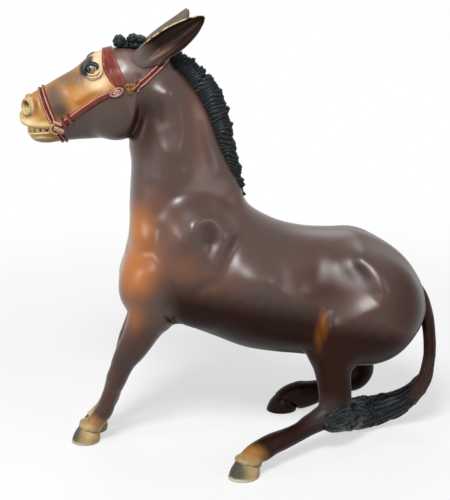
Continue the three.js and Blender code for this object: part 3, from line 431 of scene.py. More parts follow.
AMBER_MARKS = (
    ((-45.5, 17, 100), (9.5, 18, 11), 0.7, 1.0),
    ((-45.5, 17, 89), (11, 18, 18), 0.7, 1.0),
    ((-45, 14, 66), (5, 12, 9), 0.9, 0.5),
    ((36.9, 30, 61), (1.5, 12, 6.0), 1.0, 0.4),
    ((35.2, 30, 55), (1.5, 12, 5.5), 1.0, 0.3),
)
DULL_MARKS = (((37, 27, 81), (12, 16, 10), 0.8, 0.78), ((54, 28, 66), (9, 16, 8), 0.8, 0.35))
CREAM_MARKS = (((-88.5, 7.5, 153.6), (2.7, 8, 4.0), 0.2, 1.0), ((-86, 6, 140.8), (6.5, 14, 2.6), 0.5, 0.9))
FACE_LAYERS = (
    (
        "glow",
        ((-57.0, 8, 173), (5.5, 14, 5), 0.4, 1.0),
        ((-59, 14, 165.5), (5.5, 12, 4.5), 0.5, 1.0),
        ((-56, 14, 166), (3, 8, 5), 0.5, 0.6),
    ),
    ("amber", ((-64.5, 12, 156.5), (6, 8, 3.4), 0.7, 0.65), ((-71, 10, 161), (3.5, 8, 3), 0.6, 0.55)),
    (
        "bridge",
        ((-72, 6, 165.5), (10, 14, 4.4), 0.7, 0.8),
        ((-77.0, 10, 156), (5.5, 12, 9.5), 0.7, 1.0),
        ((-67.0, 10, 166), (4.0, 12, 3.5), 0.7, 0.8),
    ),
    ("jowl", ((-74.6, 10, 151.4), (4.6, 12, 3.6), 0.8, 0.9), ((-78.5, 9, 158), (2.6, 10, 5.0), 0.8, 0.45)),
)
# Edges between paints in the side view: a point, the way across, soft width and wander
PAINT_EDGES = {
    # The belly, elbow and legs edges bound the painted shade on the lower body; the others part two paints
    "belly": ((4, 79), (-0.2, -0.98), 17, 0.2),
    "elbow": ((-34, 66), (1, 0.1), 12, 0.2),
    "legs": ((-40, 68), (0, -1), 20, 0.2),
    "muzzle": ((-81, 153.5), (-0.92, -0.39), 1.5, 1.0),
    "jowl": ((-60, 155.2), (0.53, -0.85), 0.8, 1.0),
    "cheek": ((-60, 157.4), (0.53, -0.85), 0.8, 1.0),
    "chin": ((-76, 140), (1, 0.1), 1.0, 1.0),
    "crown": ((-50.4, 168), (0.955, 0.30), 1.2, 1.0),
    "hoof rim": ((0, 1.2), (0, -1), 1.2, 1.0),
}
# The dark dusting on the near hock alone, at its own place
DUSK_MARK = ((39, -15, 18.5), (8, 12, 6.5), 0.9, 0.75)

# Boxes that the skins are joined in, and how near the skin the relief is worked out
BODY_SPAN = (-82, -47, -2), (90, 60, 184)
HEAD_SPAN = (-98, -10, 128), (-14, 33, 190)
BODY_CARVE, HEAD_CARVE = 4.2, 3.2

# Fillets: cheeks on the head, head on the neck, and a leg's share of the limb blend
FACE_FILLET, NECK_FILLET = 2.4, 2.5
LEG_FILLET_SHARES = {"fore": 0.35, "hind": 0.65}

# Round the eye, with y outwards: the socket, then the hoops of the lids as offset, radii, wire, fillet
EYE_LOOK = (-0.22, 1, 0.12)
SOCKET_OFFSET, SOCKET_RADII = (0, 0.2, 0), (3.1, 1.5, 2.35)
LID_HOOPS = (
    ((0.6, -0.6, -0.7), (3.9, 2.9), 0.35, 1.3),
    ((0.3, -0.15, 0), (3.0, 2.25), 0.45, 0.35),
)
NOSTRIL_LOOK = (-0.66, 0.75, 0.05)
NOSTRIL_PLACES = {LEFT: (-87.4, -6.6, 153.6), RIGHT: (-85.8, 6.0, 151.4)}
# The nose is cut off in front of this x and below this z
NOSE_CUT = (-90.6, 150.2)

# Rings of a hoof: share of the way down, size of the ring and height over the ground
HOOF_DOWN = (-0.35, -0.1, 0.05, 0.15, 0.3, 0.45, 0.6, 0.72, 0.83, 0.92, 0.97, 1, 1, 1, 1)
HOOF_SWELL = (0.60, 0.80, 0.90, 0.95, 1.01, 1.03, 1.03, 1.01, 0.985, 0.96, 0.94, 0.90, 0.83, 0.72, 0.4)
HOOF_LIFT = (0, 0, 0, 0, 0, 0, 0, 0, 0, 0, 0, 0, 0.25, 0.6, 0.8)

# Halter: x and z of the ring, the pad and the rosette, the keepers, and the ring's two tabs
RING_PLACE, PAD_PLACE, ROSETTE_PLACE = (-76.9, 144.0), (-50.6, 160.5), (-44.9, 162.0)
KEEPER_PLACES = ((-73.3, 146.8), (-70.6, 148.5))
RING_TABS = (
    (((-77.9, 144.6), (-75.9, 143.7), (-73.8, 142.5)), 2.3),
    (((-78.0, 147.2), (-76.3, 146.6), (-74.4, 145.7)), 1.2),
)
# Each band: its node, the side that it starts from in degrees and its folds
BANDS = {
    "nose_band": ("noseband", 0, 2),
    "brow_strap": ("brow_band", 0, 1),
    "crown_band": ("crown_strap", 0, 2),
    "chin_band": ("chin_strap", 180, 2),
}

# Stage: lamps as place, size and power, then the camera
LAMPS = {
    "key": ((-0.26, -0.88, 1.06), 0.46, 17),
    "left": ((-1.15, -0.45, 0.45), 0.35, 3),
    "right": ((0.90, -0.70, 0.60), 0.6, 2),
    "back": ((0.10, 0.80, 1.00), 0.6, 2),
}
LAMP_TARGET = (0, 0, 0.09)
CAMERA_PLACE = (-38.214, -638.199, 267.386)
CAMERA_TARGET = (-4.172, 11.360, 87.0)
CAMERA_LENS = 109.44
FLOOR_GLOW = 0.58


# Sizes and colours that a user would change


def length_property(name, description, size, least=0.1):
    return bpy.props.FloatProperty(
        name=name, description=description, default=size * MM, min=least * MM, unit="LENGTH"
    )


class MuleSizes(bpy.types.PropertyGroup):
    """Sizes of the dressed figure."""

    hide_grain: length_property("Hide grain", "Spacing of the points that carry the body skin", 0.80, 0.4)
    head_grain: length_property("Head grain", "Spacing of the points that carry the head skin", 0.40, 0.2)
    limb_blend: length_property("Limb blend", "Reach of the fillet where a leg joins the trunk", 7.0)
    strap_thickness: length_property("Strap thickness", "How far the halter stands off the head", 0.85)
    relief: bpy.props.FloatProperty(
        name="Relief", description="Strength of the modelled muscles", default=1.0, subtype="FACTOR"
    )
    mane_locks: bpy.props.IntProperty(name="Mane locks", description="Locks along the mane", default=54)


def linear(code):
    """A colour written as six hexadecimal digits, as linear red, green and blue."""
    channels = [int(code[place : place + 2], 16) / 255 for place in (0, 2, 4)]
    return tuple(c / 12.92 if c <= 0.04045 else ((c + 0.055) / 1.055) ** 2.4 for c in channels)


def paint_property(name, code):
    return bpy.props.FloatVectorProperty(
        name=name, description=f"Paint of the {name.lower()}", default=linear(code), subtype="COLOR", size=3
    )


class MulePaints(bpy.types.PropertyGroup):
    """Paints of the figure."""

    hide: paint_property("Hide", "46281b")
    # The hide's shade colour, for painted shade in the hollows and underneath, and for the mottling
    hide_shade: paint_property("Hide in painted shade", "24100a")
    russet: paint_property("Russet shading", "6e3a16")
    amber: paint_property("Chest and flank", "c4700f")
    face: paint_property("Face", "c48f4e")
    bridge: paint_property("Nose bridge", "6f5846")
    jowl: paint_property("Jowl", "3b2721")
    muzzle: paint_property("Muzzle", "b57f42")
    cream: paint_property("Cream paint", "f0d79c")
    glow: paint_property("Light round the eye", "f0d3a6")
    soot: paint_property("Eye patch", "070d10")
    ear_back: paint_property("Back of the ear", "7c6f6a")
    hair: paint_property("Hair", "0c0f11")
    hair_light: paint_property("Hair highlights", "4a565b")
    ear_inside: paint_property("Inside of the ear", "25130d")
    halter: paint_property("Halter", "a4574b")
    # Painted shade in the halter's grooves
    halter_groove_shade: paint_property("Halter grooves", "5a2018")
    gold: paint_property("Knot", "b98a52")
    horn: paint_property("Hoof horn", "6a6955")
    eye: paint_property("Eye", "0b1416")
    tooth: paint_property("Teeth", "fdf0c8")


# Curves, lofts and grids


def curve(points, shares):
    """A smooth line through the points at each share of its length from 0 to 1.

    Between two points it is the cubic whose slope at each point is half the step between that
    point's neighbours; past the ends the line is mirrored.
    """
    points = np.asarray(points, float)
    padded = np.vstack([2 * points[0] - points[1], points, 2 * points[-1] - points[-2]])
    place = np.clip(shares, 0, 1) * (len(points) - 1)
    first = np.minimum(place.astype(int), len(points) - 2)
    t = (place - first)[..., None]
    before, here, after, beyond = (padded[first + step] for step in range(4))
    slope_here, slope_after = (after - before) / 2, (beyond - here) / 2
    cubic = 2 * here - 2 * after + slope_here + slope_after
    square = -3 * here + 3 * after - 2 * slope_here - slope_after
    return cubic * t**3 + square * t**2 + slope_here * t + here


def unit(vectors):
    return vectors / np.maximum(np.linalg.norm(vectors, axis=-1, keepdims=True), 1e-9)


def smooth_step(low, high, values):
    """0 below low, 1 above high and the smooth cubic between them."""
    t = np.clip((values - low) / (high - low), 0, 1)
    return t * t * (3 - 2 * t)


def bell(values, width):
    """1 at zero, falling off as the exponential of less the square of the values over the width."""
    return np.exp(-((values / width) ** 2))


def even(count):
    """Shares evenly spaced from 0 to 1."""
    return np.linspace(0, 1, count)


def turns(count):
    """Angles evenly spaced round a full turn."""
    return np.arange(count) * 2 * np.pi / count


def on_trunk(along, up):
    """X and z of a place in shares of the trunk's length and height."""
    return START_X + TRUNK[0] * along, RUMP_CLEARANCE + TRUNK[1] * up


def on_neck(along, up):
    """X and z of a place in shares of the neck, counted from the withers."""
    x, z = on_trunk(*WITHERS_SHARES)
    return x + NECK[0] * along, z + NECK[1] * up


def on_head(forward, up):
    """X and z of a place in shares of the head, counted from the poll."""
    x, z = on_neck(-POLL_SHARE, 1)
    return x - HEAD[0] * forward, z + HEAD[1] * up


def head_place(forward, out, up, side):
    """A place on one side of the head, from shares of its length, width and height."""
    x, z = on_head(forward, up)
    return np.array([x, MID_Y + side * HEAD[2] * out, z])


def span_rows(shares, place, width):
    """Rows as top x, top z, bottom x, bottom z, half width and taper, in millimetres."""
    return [(*place(a, b), *place(c, d), half * width, taper) for a, b, c, d, half, taper in shares]


def span_grid(rows, along, round_count):
    """Rings through rows that span from a top to a bottom point in the side view.

    Each ring is the middle plus the half span times the cosine, upwards, and the half width
    times the sine, sideways, where the half width narrows towards the top by the taper.
    """
    rows = curve(rows, along)[:, None, :]
    angle = turns(round_count)[None, :]
    sine, cosine = np.sin(angle), np.cos(angle)
    grid = np.empty((len(along), round_count, 3))
    grid[..., 0] = (rows[..., 0] + rows[..., 2]) / 2 + cosine * (rows[..., 0] - rows[..., 2]) / 2
    grid[..., 2] = (rows[..., 1] + rows[..., 3]) / 2 + cosine * (rows[..., 1] - rows[..., 3]) / 2
    grid[..., 1] = MID_Y + sine * rows[..., 4] * (1 + rows[..., 5] * cosine)
    return grid


def tube_frames(stations, along, level=0.0):
    """Centre, direction, back and side of the rings along a tube, and the two half sizes.

    The side leans as little as it can from +Y, the back is the direction times the side, and
    level turns the last rings towards the ground.
    """
    centres = curve(stations[:, :3], along)
    sizes = curve(stations[:, 3:5], along)
    step = 1e-3
    ahead = curve(stations[:, :3], np.minimum(along + step, 1))
    behind = curve(stations[:, :3], np.maximum(along - step, 0))
    forward = unit(ahead - behind)
    turn = (level * smooth_step(ANKLE_START_SHARE, 1, along))[:, None]
    forward = unit(forward * (1 - turn) - UP * turn)
    side = unit(SIDEWAYS - forward * forward[:, 1:2])
    back = np.cross(forward, side)
    return centres, forward, back, side, sizes


def tube_grid(stations, along, round_count, level=0.0):
    """Oval rings along a centre line: the cosine goes backwards and the sine sideways."""
    centres, _, back, side, sizes = tube_frames(stations, along, level)
    angle = turns(round_count)[None, :, None]
    return (
        centres[:, None]
        + back[:, None] * np.cos(angle) * sizes[:, None, :1]
        + side[:, None] * np.sin(angle) * sizes[:, None, 1:2]
    )


def stations_of(shares, origin, steps, thickness):
    """Stations in millimetres: the origin plus the shares of the steps, then the two half sizes."""
    shares = np.array(shares, float)
    return np.hstack([np.array(origin) + shares[:, :3] * np.array(steps), shares[:, 3:] * thickness])


def foreleg(side):
    x, z = on_trunk(*ELBOW_SHARES[side])
    steps = (-FORELEG_REACH[side], side * FORELEG_SPREAD, z)
    return stations_of(FORELEG_SHARES, (x, MID_Y, 0), steps, FORELEG_THICKNESS)


def hindleg(side):
    x, z = on_trunk(*HIP_SHARES)
    shares = LEFT_HINDLEG_SHARES if side == LEFT else RIGHT_HINDLEG_SHARES
    steps = (-HINDLEG_REACH, side * HINDLEG_SPREAD[side], z)
    return stations_of(shares, (x, MID_Y, 0), steps, HINDLEG_THICKNESS)


def tail_stations(shares, thickness):
    (x, z), (hip_x, _) = on_trunk(*RUMP_SHARES), on_trunk(*HIP_SHARES)
    steps = ((x - hip_x) * TAIL_SWEEP_SHARE, HINDLEG_SPREAD[LEFT], z)
    return stations_of(shares, (x, MID_Y, 0), steps, thickness)


def ear_stations(side):
    root = head_place(*EAR_ROOT_SHARES, side)
    steps = (EAR_LENGTH, side * EAR_LENGTH, EAR_LENGTH)
    return stations_of(EAR_SHARES[side], root, steps, (EAR_WIDTH, EAR_THICKNESS))


def closed_faces(rings, sides):
    """Quads between neighbouring rings and a fan of triangles to a pole at each end."""
    ring, side = np.meshgrid(np.arange(rings - 1), np.arange(sides), indexing="ij")
    here = ring * sides + side
    beside = ring * sides + (side + 1) % sides
    quads = np.stack([here, beside, beside + sides, here + sides], -1).reshape(-1, 4)
    side = np.arange(sides)
    last = (rings - 1) * sides
    start = np.stack([np.full(sides, rings * sides), (side + 1) % sides, side], 1)
    end = np.stack([np.full(sides, rings * sides + 1), last + side, last + (side + 1) % sides], 1)
    return quads, np.vstack([start, end])


def closed_mesh(grid):
    """Points, quads and triangles of a closed tube, facing outwards."""
    points = np.vstack([grid.reshape(-1, 3), grid[0].mean(0), grid[-1].mean(0)])
    quads, triangles = closed_faces(*grid.shape[:2])
    corners = points[quads]
    volume = np.einsum("ij,ij->i", corners[:, 0], np.cross(corners[:, 1], corners[:, 2])).sum()
    volume += np.einsum("ij,ij->i", corners[:, 0], np.cross(corners[:, 2], corners[:, 3])).sum()
    if volume < 0:
        quads, triangles = quads[:, ::-1], triangles[:, ::-1]
    return points, quads, triangles


# Distance fields


class Lattice:
    """A box of evenly spaced points, in millimetres, on which solids are joined."""

    def __init__(self, low, high, grain):
        self.grain = grain
        self.low = np.floor(np.array(low) / grain).astype(int)
        self.shape = tuple(int(n) for n in np.ceil(np.array(high) / grain).astype(int) - self.low + 1)
        self.transform = vdb.createLinearTransform(voxelSize=grain)
        self.corner = tuple(int(n) for n in self.low)

    def axes(self):
        """X, Y and Z of the lattice's points, each along its own axis."""
        shapes = ((-1, 1, 1), (1, -1, 1), (1, 1, -1))
        return [
            ((np.arange(n) + low) * self.grain).astype(np.float32).reshape(shape)
            for n, low, shape in zip(self.shape, self.low, shapes)
        ]

    def distance(self, mesh, reach):
        """Signed distance to a closed mesh, held between plus and minus the reach."""
        points, quads, triangles = mesh
        grid = vdb.FloatGrid.createLevelSetFromPolygons(
            points.astype(np.float32),
            triangles=triangles.astype(np.uint32),
            quads=quads.astype(np.uint32),
            transform=self.transform,
            halfWidth=reach / self.grain,
        )
        values = np.empty(self.shape, np.float32)
        grid.copyToArray(values, ijk=self.corner)
        return values

    def ball(self, centre, radii):
        """Near distance to an ellipsoid: the scaled length times itself less one, over the slope."""
        x, y, z = (axis - c for axis, c in zip(self.axes(), centre))
        a, b, c = radii
        scaled = np.sqrt((x / a) ** 2 + (y / b) ** 2 + (z / c) ** 2)
        slope = np.sqrt((x / a**2) ** 2 + (y / b**2) ** 2 + (z / c**2) ** 2)
        return scaled * (scaled - 1) / np.maximum(slope, 1e-6)

    def hoop(self, centre, axis, radii, wire, frill=0.0):
        """Distance to an oval hoop round an axis.

        The place is stretched until the oval is a circle; the distance is to that circle, less
        the wire. A frill lifts the circle along the axis in scallops.
        """
        x, y, z = (a - c for a, c in zip(self.axes(), centre))
        axis = unit(np.array(axis, float))
        steep = abs(axis[2]) >= 0.7
        up = unit(np.cross(axis, (0, 1, 0)) if steep else UP - axis * axis[2])
        across = np.cross(up, axis)
        along = x * axis[0] + y * axis[1] + z * axis[2]
        rise = (x * up[0] + y * up[1] + z * up[2]) * (radii[0] / radii[1])
        reach = x * across[0] + y * across[1] + z * across[2]
        if frill:
            angle = np.arctan2(rise, reach)
            along = along - frill * (np.abs(np.sin(5.5 * angle + 0.6 * np.sin(3 * angle))) - 0.5)
        return np.sqrt((np.hypot(rise, reach) - radii[0]) ** 2 + along * along) - wire

    def carve(self, values, relief, strength, reach):
        """Raises or lowers the skin by the relief, worked out only near it."""
        near = np.nonzero(np.abs(values) < reach)
        points = (np.stack(near, -1) + self.low) * self.grain
        values[near] -= (strength * relief_height(points, relief)).astype(np.float32)

    def sample(self, values, points):
        """The field at any points: the eight nearest values weighed by closeness."""
        place = points / self.grain - self.low
        limit = np.array(self.shape) - 2
        cell = np.clip(np.floor(place).astype(int), 0, limit)
        t = np.clip(place - cell, 0, 1)
        total = np.zeros(points.shape[:-1])
        for corner in np.ndindex(2, 2, 2):
            weight = np.prod(np.where(corner, t, 1 - t), axis=-1)
            i, j, k = (cell[..., axis] + corner[axis] for axis in range(3))
            total += weight * values[i, j, k]
        return total

    def slope(self, values, points):
        """Outward direction of the field, from its change over one step each way."""
        steps = np.eye(3) * self.grain
        change = [self.sample(values, points + step) - self.sample(values, points - step) for step in steps]
        return unit(np.stack(change, -1))

    def drop(self, values, points, direction, count=60):
        """Moves each point along its direction by the distance left until it meets the skin."""
        points = points.copy()
        for _ in range(count):
            points += direction * self.sample(values, points)[..., None] * 0.8
        return points

    def touch(self, values, start, direction):
        """Where one ray meets the skin, and the skin's outward direction there."""
        place = self.drop(values, np.array([start], float), np.array([direction], float))
        return place[0], self.slope(values, place)[0]

    def skin(self, values):
        """The zero surface as points and quads."""
        grid = vdb.FloatGrid(background=float(values.max()))
        grid.transform = self.transform
        grid.copyFromArray(values, ijk=self.corner)
        return grid.convertToQuads(isovalue=0.0)


def soft_join(a, b, reach):
    """The nearer of two distances, rounded off where they differ by less than the reach."""
    h = np.clip(0.5 + 0.5 * (b - a) / reach, 0, 1)
    return b * (1 - h) + a * h - reach * h * (1 - h)


def soft_cut(a, b, reach):
    """The first solid less the second, rounded off over the reach."""
    return -soft_join(-a, b, reach)


def path_distance(x, z, path):
    """Distance in the side view to a line through points, and the share along it."""
    path = np.array(path, float)
    if len(path) == 1:
        return np.hypot(x - path[0, 0], z - path[0, 1]), np.zeros_like(x)
    best, share = np.full(x.shape, np.inf), np.zeros(x.shape)
    for place in range(len(path) - 1):
        start, step = path[place], path[place + 1] - path[place]
        t = np.clip(((x - start[0]) * step[0] + (z - start[1]) * step[1]) / (step @ step), 0, 1)
        gap = np.hypot(x - start[0] - t * step[0], z - start[1] - t * step[1])
        nearer = gap < best
        best = np.where(nearer, gap, best)
        share = np.where(nearer, (place + t) / (len(path) - 1), share)
    return best, share


def relief_height(points, relief):
    """Sum of strokes, each its height times a bell of the distance to its path over its width."""
    x, z = points[..., 0], points[..., 2]
    flank = smooth_step(1.0, 5.0, np.abs(points[..., 1] - MID_Y))
    total = np.zeros(x.shape)
    for _, path, width, height in relief:
        gap, _ = path_distance(x, z, path)
        total += height * bell(gap, width)
    return total * flank


# Meshes


def new_piece(name, points, faces, slot, node, material, attributes=()):
    """A smooth mesh object from points in millimetres, riding on the figure."""
    mesh = bpy.data.meshes.new(name)
    mesh.from_pydata((np.asarray(points) * MM).tolist(), [], [face.tolist() for face in faces])
    for label, values in attributes:
        layer = mesh.attributes.new(label, "FLOAT", "POINT")
        layer.data.foreach_set("value", np.asarray(values, np.float32))
    mesh.shade_smooth()
    return dress(name, mesh, slot, [node], material)


def plain_piece(name, grids, slot, node, material):
    """A piece of closed grids in one paint."""
    points, faces, _ = joined([(grid, 0) for grid in grids])
    return new_piece(name, points, faces, slot, node, material)


def ridged_piece(name, parts, slot, node, material):
    """A piece of closed grids whose ridge values steer its paint."""
    points, faces, ridge = joined(parts)
    return new_piece(name, points, faces, slot, node, material, [("ridge", ridge)])


def dress(name, mesh, slot, nodes, *materials):
    """An object of the mesh, tied to the frame: its body and the nodes that it replaces. The slot is not
    used.
    """
    piece = bpy.data.objects.new(name, mesh)
    bpy.context.scene.collection.objects.link(piece)
    for material in materials:
        mesh.materials.append(material)
    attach(piece, "root")
    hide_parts(*nodes)
    return piece


def joined(parts):
    """Several closed grids as one list of points, faces and ridge values."""
    points, faces, ridges, count = [], [], [], 0
    for grid, ridge in parts:
        own, quads, triangles = closed_mesh(grid)
        points.append(own)
        faces += [*(quads + count), *(triangles + count)]
        ridge = np.broadcast_to(ridge, grid.shape[:2]).reshape(-1)
        ridges.append(np.concatenate([ridge, [ridge[0], ridge[-1]]]))
        count += len(own)
    return np.vstack(points), faces, np.concatenate(ridges)


def quad_mesh(name, points, quads):
    """A mesh of quads only, filled by whole arrays."""
    mesh = bpy.data.meshes.new(name)
    mesh.vertices.add(len(points))
    mesh.vertices.foreach_set("co", (points * MM).astype(np.float32).ravel())
    mesh.loops.add(quads.size)
    mesh.loops.foreach_set("vertex_index", quads.astype(np.int32).ravel())
    mesh.polygons.add(len(quads))
    mesh.polygons.foreach_set("loop_start", np.arange(0, quads.size, 4, dtype=np.int32))
    mesh.update(calc_edges=True)
    mesh.validate()
    return mesh


def relax(points, quads, rounds, strength=0.5):
    """Moves each point towards the middle of its neighbours, and back a little, to even it out."""
    edges = np.vstack([quads[:, [0, 1]], quads[:, [1, 2]], quads[:, [2, 3]], quads[:, [3, 0]]])
    count = np.bincount(edges.ravel(), minlength=len(points))[:, None]
    points = points.astype(float)
    for pull in [strength, -strength * 1.04] * rounds:
        middle = np.zeros_like(points)
        for axis in range(3):
            middle[:, axis] = np.bincount(edges[:, 0], points[edges[:, 1], axis], len(points))
            middle[:, axis] += np.bincount(edges[:, 1], points[edges[:, 0], axis], len(points))
        points = points + pull * (middle / count - points)
    return points


def cut_at_neck(mesh, keep):
    """Keeps one side of the neck cut and closes it with a flat face."""
    work = bmesh.new()
    work.from_mesh(mesh)
    cut = bmesh.ops.bisect_plane(
        work,
        geom=[*work.verts, *work.edges, *work.faces],
        plane_co=Vector(NECK_CUT_POINT) * MM,
        plane_no=Vector(NECK_CUT_NORMAL),
        clear_outer=keep == "body",
        clear_inner=keep == "head",
    )
    rim = [e for e in cut["geom_cut"] if isinstance(e, bmesh.types.BMEdge) and e.is_boundary]
    bmesh.ops.edgeloop_fill(work, edges=rim)
    for edge in rim:
        edge.smooth = False
    bmesh.ops.recalc_face_normals(work, faces=work.faces)
    work.to_mesh(mesh)
    work.free()
    mesh.shade_smooth()


def noise_wave(values, seed, octaves=3):
    """A smooth wandering line: sines of unrelated lengths and set phases, each half as tall."""
    source = np.random.default_rng(seed)
    total = np.zeros_like(values)
    for octave in range(octaves):
        for _ in range(3):
            pace = (2**octave) * source.uniform(0.7, 1.5)
            total += np.sin(values * pace + source.uniform(0, 2 * np.pi)) / 2**octave
    return total / 3


# Skin fields, worked out once for the pieces that need them
fields = {}


def grain_of(value):
    return value / MM * 1


def body_rows():
    return span_rows(TRUNK_SHARES, on_trunk, TRUNK[2]) + span_rows(NECK_SHARES, on_neck, NECK[2])


def head_solid(lattice, reach):
    """Distance to the head: skin through its rows, cheeks, brows and nostrils softly joined on."""
    rows = span_rows(HEAD_SHARES, on_head, HEAD[2])
    values = lattice.distance(closed_mesh(span_grid(rows, even(120), 96)), reach)
    for forward, out, up, *radii in FACE_SHARES:
        radii = np.array([HEAD[0], HEAD[2], HEAD[1]]) * np.array(radii)
        for side in (LEFT, RIGHT):
            ball = lattice.ball(head_place(forward, out, up, side), radii)
            values = soft_join(values, ball, FACE_FILLET)
    return values


def body_solid(lattice, reach):
    """Distance to trunk and neck: one skin through their rows."""
    return lattice.distance(closed_mesh(span_grid(body_rows(), even(260), 110)), reach)


def legs():
    """Each leg's name, stations and the length and width of its sole."""
    return (
        ("left_fore", foreleg(LEFT), FORE_SOLE),
        ("right_fore", foreleg(RIGHT), FORE_SOLE),
        ("left_hind", hindleg(LEFT), HIND_SOLE),
        ("right_hind", hindleg(RIGHT), HIND_SOLE),
    )


def foot(stations):
    """The end of a leg: its middle, the way its toe points and its two half sizes."""
    centres, forward, _, _, sizes = tube_frames(stations, np.array([1.0]), ANKLE_LEVEL_SHARE)
    return centres[0], unit(forward[0] * (1, 1, 0)), sizes[0]


def body_field(sizes):
    """Trunk, neck, muscles, legs and head joined with soft fillets, then the modelled relief."""
    if "body" in fields:
        return fields["body"]
    blend = sizes.limb_blend / MM
    reach = blend + 1
    lattice = Lattice(*BODY_SPAN, grain_of(sizes.hide_grain))
    values = body_solid(lattice, reach)
    for along, out, up, *radii in MUSCLE_SHARES:
        x, z = on_trunk(along, up)
        radii = np.array([TRUNK[0], TRUNK[2], TRUNK[1]]) * np.array(radii)
        for side in (LEFT, RIGHT):
            values = soft_join(values, lattice.ball((x, MID_Y + side * TRUNK[2] * out, z), radii), blend)
    along = even(150)
    for name, stations, _ in legs():
        tube = tube_grid(stations, along, 64, ANKLE_LEVEL_SHARE)
        fillet = blend * LEG_FILLET_SHARES[name[-4:]]
        values = soft_join(values, lattice.distance(closed_mesh(tube), reach), fillet)
    values = soft_join(values, head_solid(lattice, reach), NECK_FILLET)
    lattice.carve(values, BODY_RELIEF + HEAD_RELIEF[:2], sizes.relief, BODY_CARVE)
    for _, stations, _ in legs()[::2]:
        end, toe, half = foot(stations)
        tilt = UP - 0.5 * toe
        sock = lattice.hoop(end - toe * 0.5 + (0, 0, 0.5), tilt, (half[0] * 0.86, half[1] * 0.84), 0.75, 0.9)
        values = soft_join(values, sock, 1.8)
    fields["body"] = lattice, values
    return fields["body"]


def head_field(sizes):
    """Head and upper neck softly joined, with lids, nostrils, lips and mouth worked in."""
    if "head" in fields:
        return fields["head"]
    reach = 5
    lattice = Lattice(*HEAD_SPAN, grain_of(sizes.head_grain))
    values = head_solid(lattice, reach)
    values = soft_join(values, body_solid(lattice, reach), NECK_FILLET)
    lattice.carve(values, BODY_RELIEF[:7] + HEAD_RELIEF, sizes.relief, HEAD_CARVE)
    x, _, z = lattice.axes()
    gap, share = path_distance(x + 0 * z, z + 0 * x, MOUTH_PATH)
    half = np.interp(share, even(len(MOUTH_HALVES)), MOUTH_HALVES)
    values = soft_cut(values, np.broadcast_to(gap - half, values.shape), 0.7)
    nose = np.broadcast_to(np.maximum(x - NOSE_CUT[0], NOSE_CUT[1] - z), values.shape)
    values = soft_cut(values, nose, 1.4)
    for side in (LEFT, RIGHT):
        flip = np.array([1, side, 1])
        outward = np.array([0, side, 0.0])
        seat, _ = lattice.touch(values, head_place(*EYE_SHARES, side) + outward * 12, -outward)
        values = soft_cut(values, lattice.ball(seat + flip * SOCKET_OFFSET, SOCKET_RADII), 0.5)
        for offset, radii, wire, fillet in LID_HOOPS:
            lid = lattice.hoop(seat + flip * offset, flip * EYE_LOOK, radii, wire)
            values = soft_join(values, lid, fillet)
        facing = unit(flip * NOSTRIL_LOOK)
        start = np.array(NOSTRIL_PLACES[side]) + (0, MID_Y, 0)
        rim, _ = lattice.touch(values, start + facing * 8, -facing)
        values = soft_join(values, lattice.hoop(rim - facing * 0.25, facing, (2.15, 2.95), 0.62), 0.5)
        values = soft_cut(values, lattice.ball(rim - facing * 0.1, (2.1, 2.2, 2.5)), 0.4)
    fields["head"] = lattice, values
    return fields["head"]


# Paint


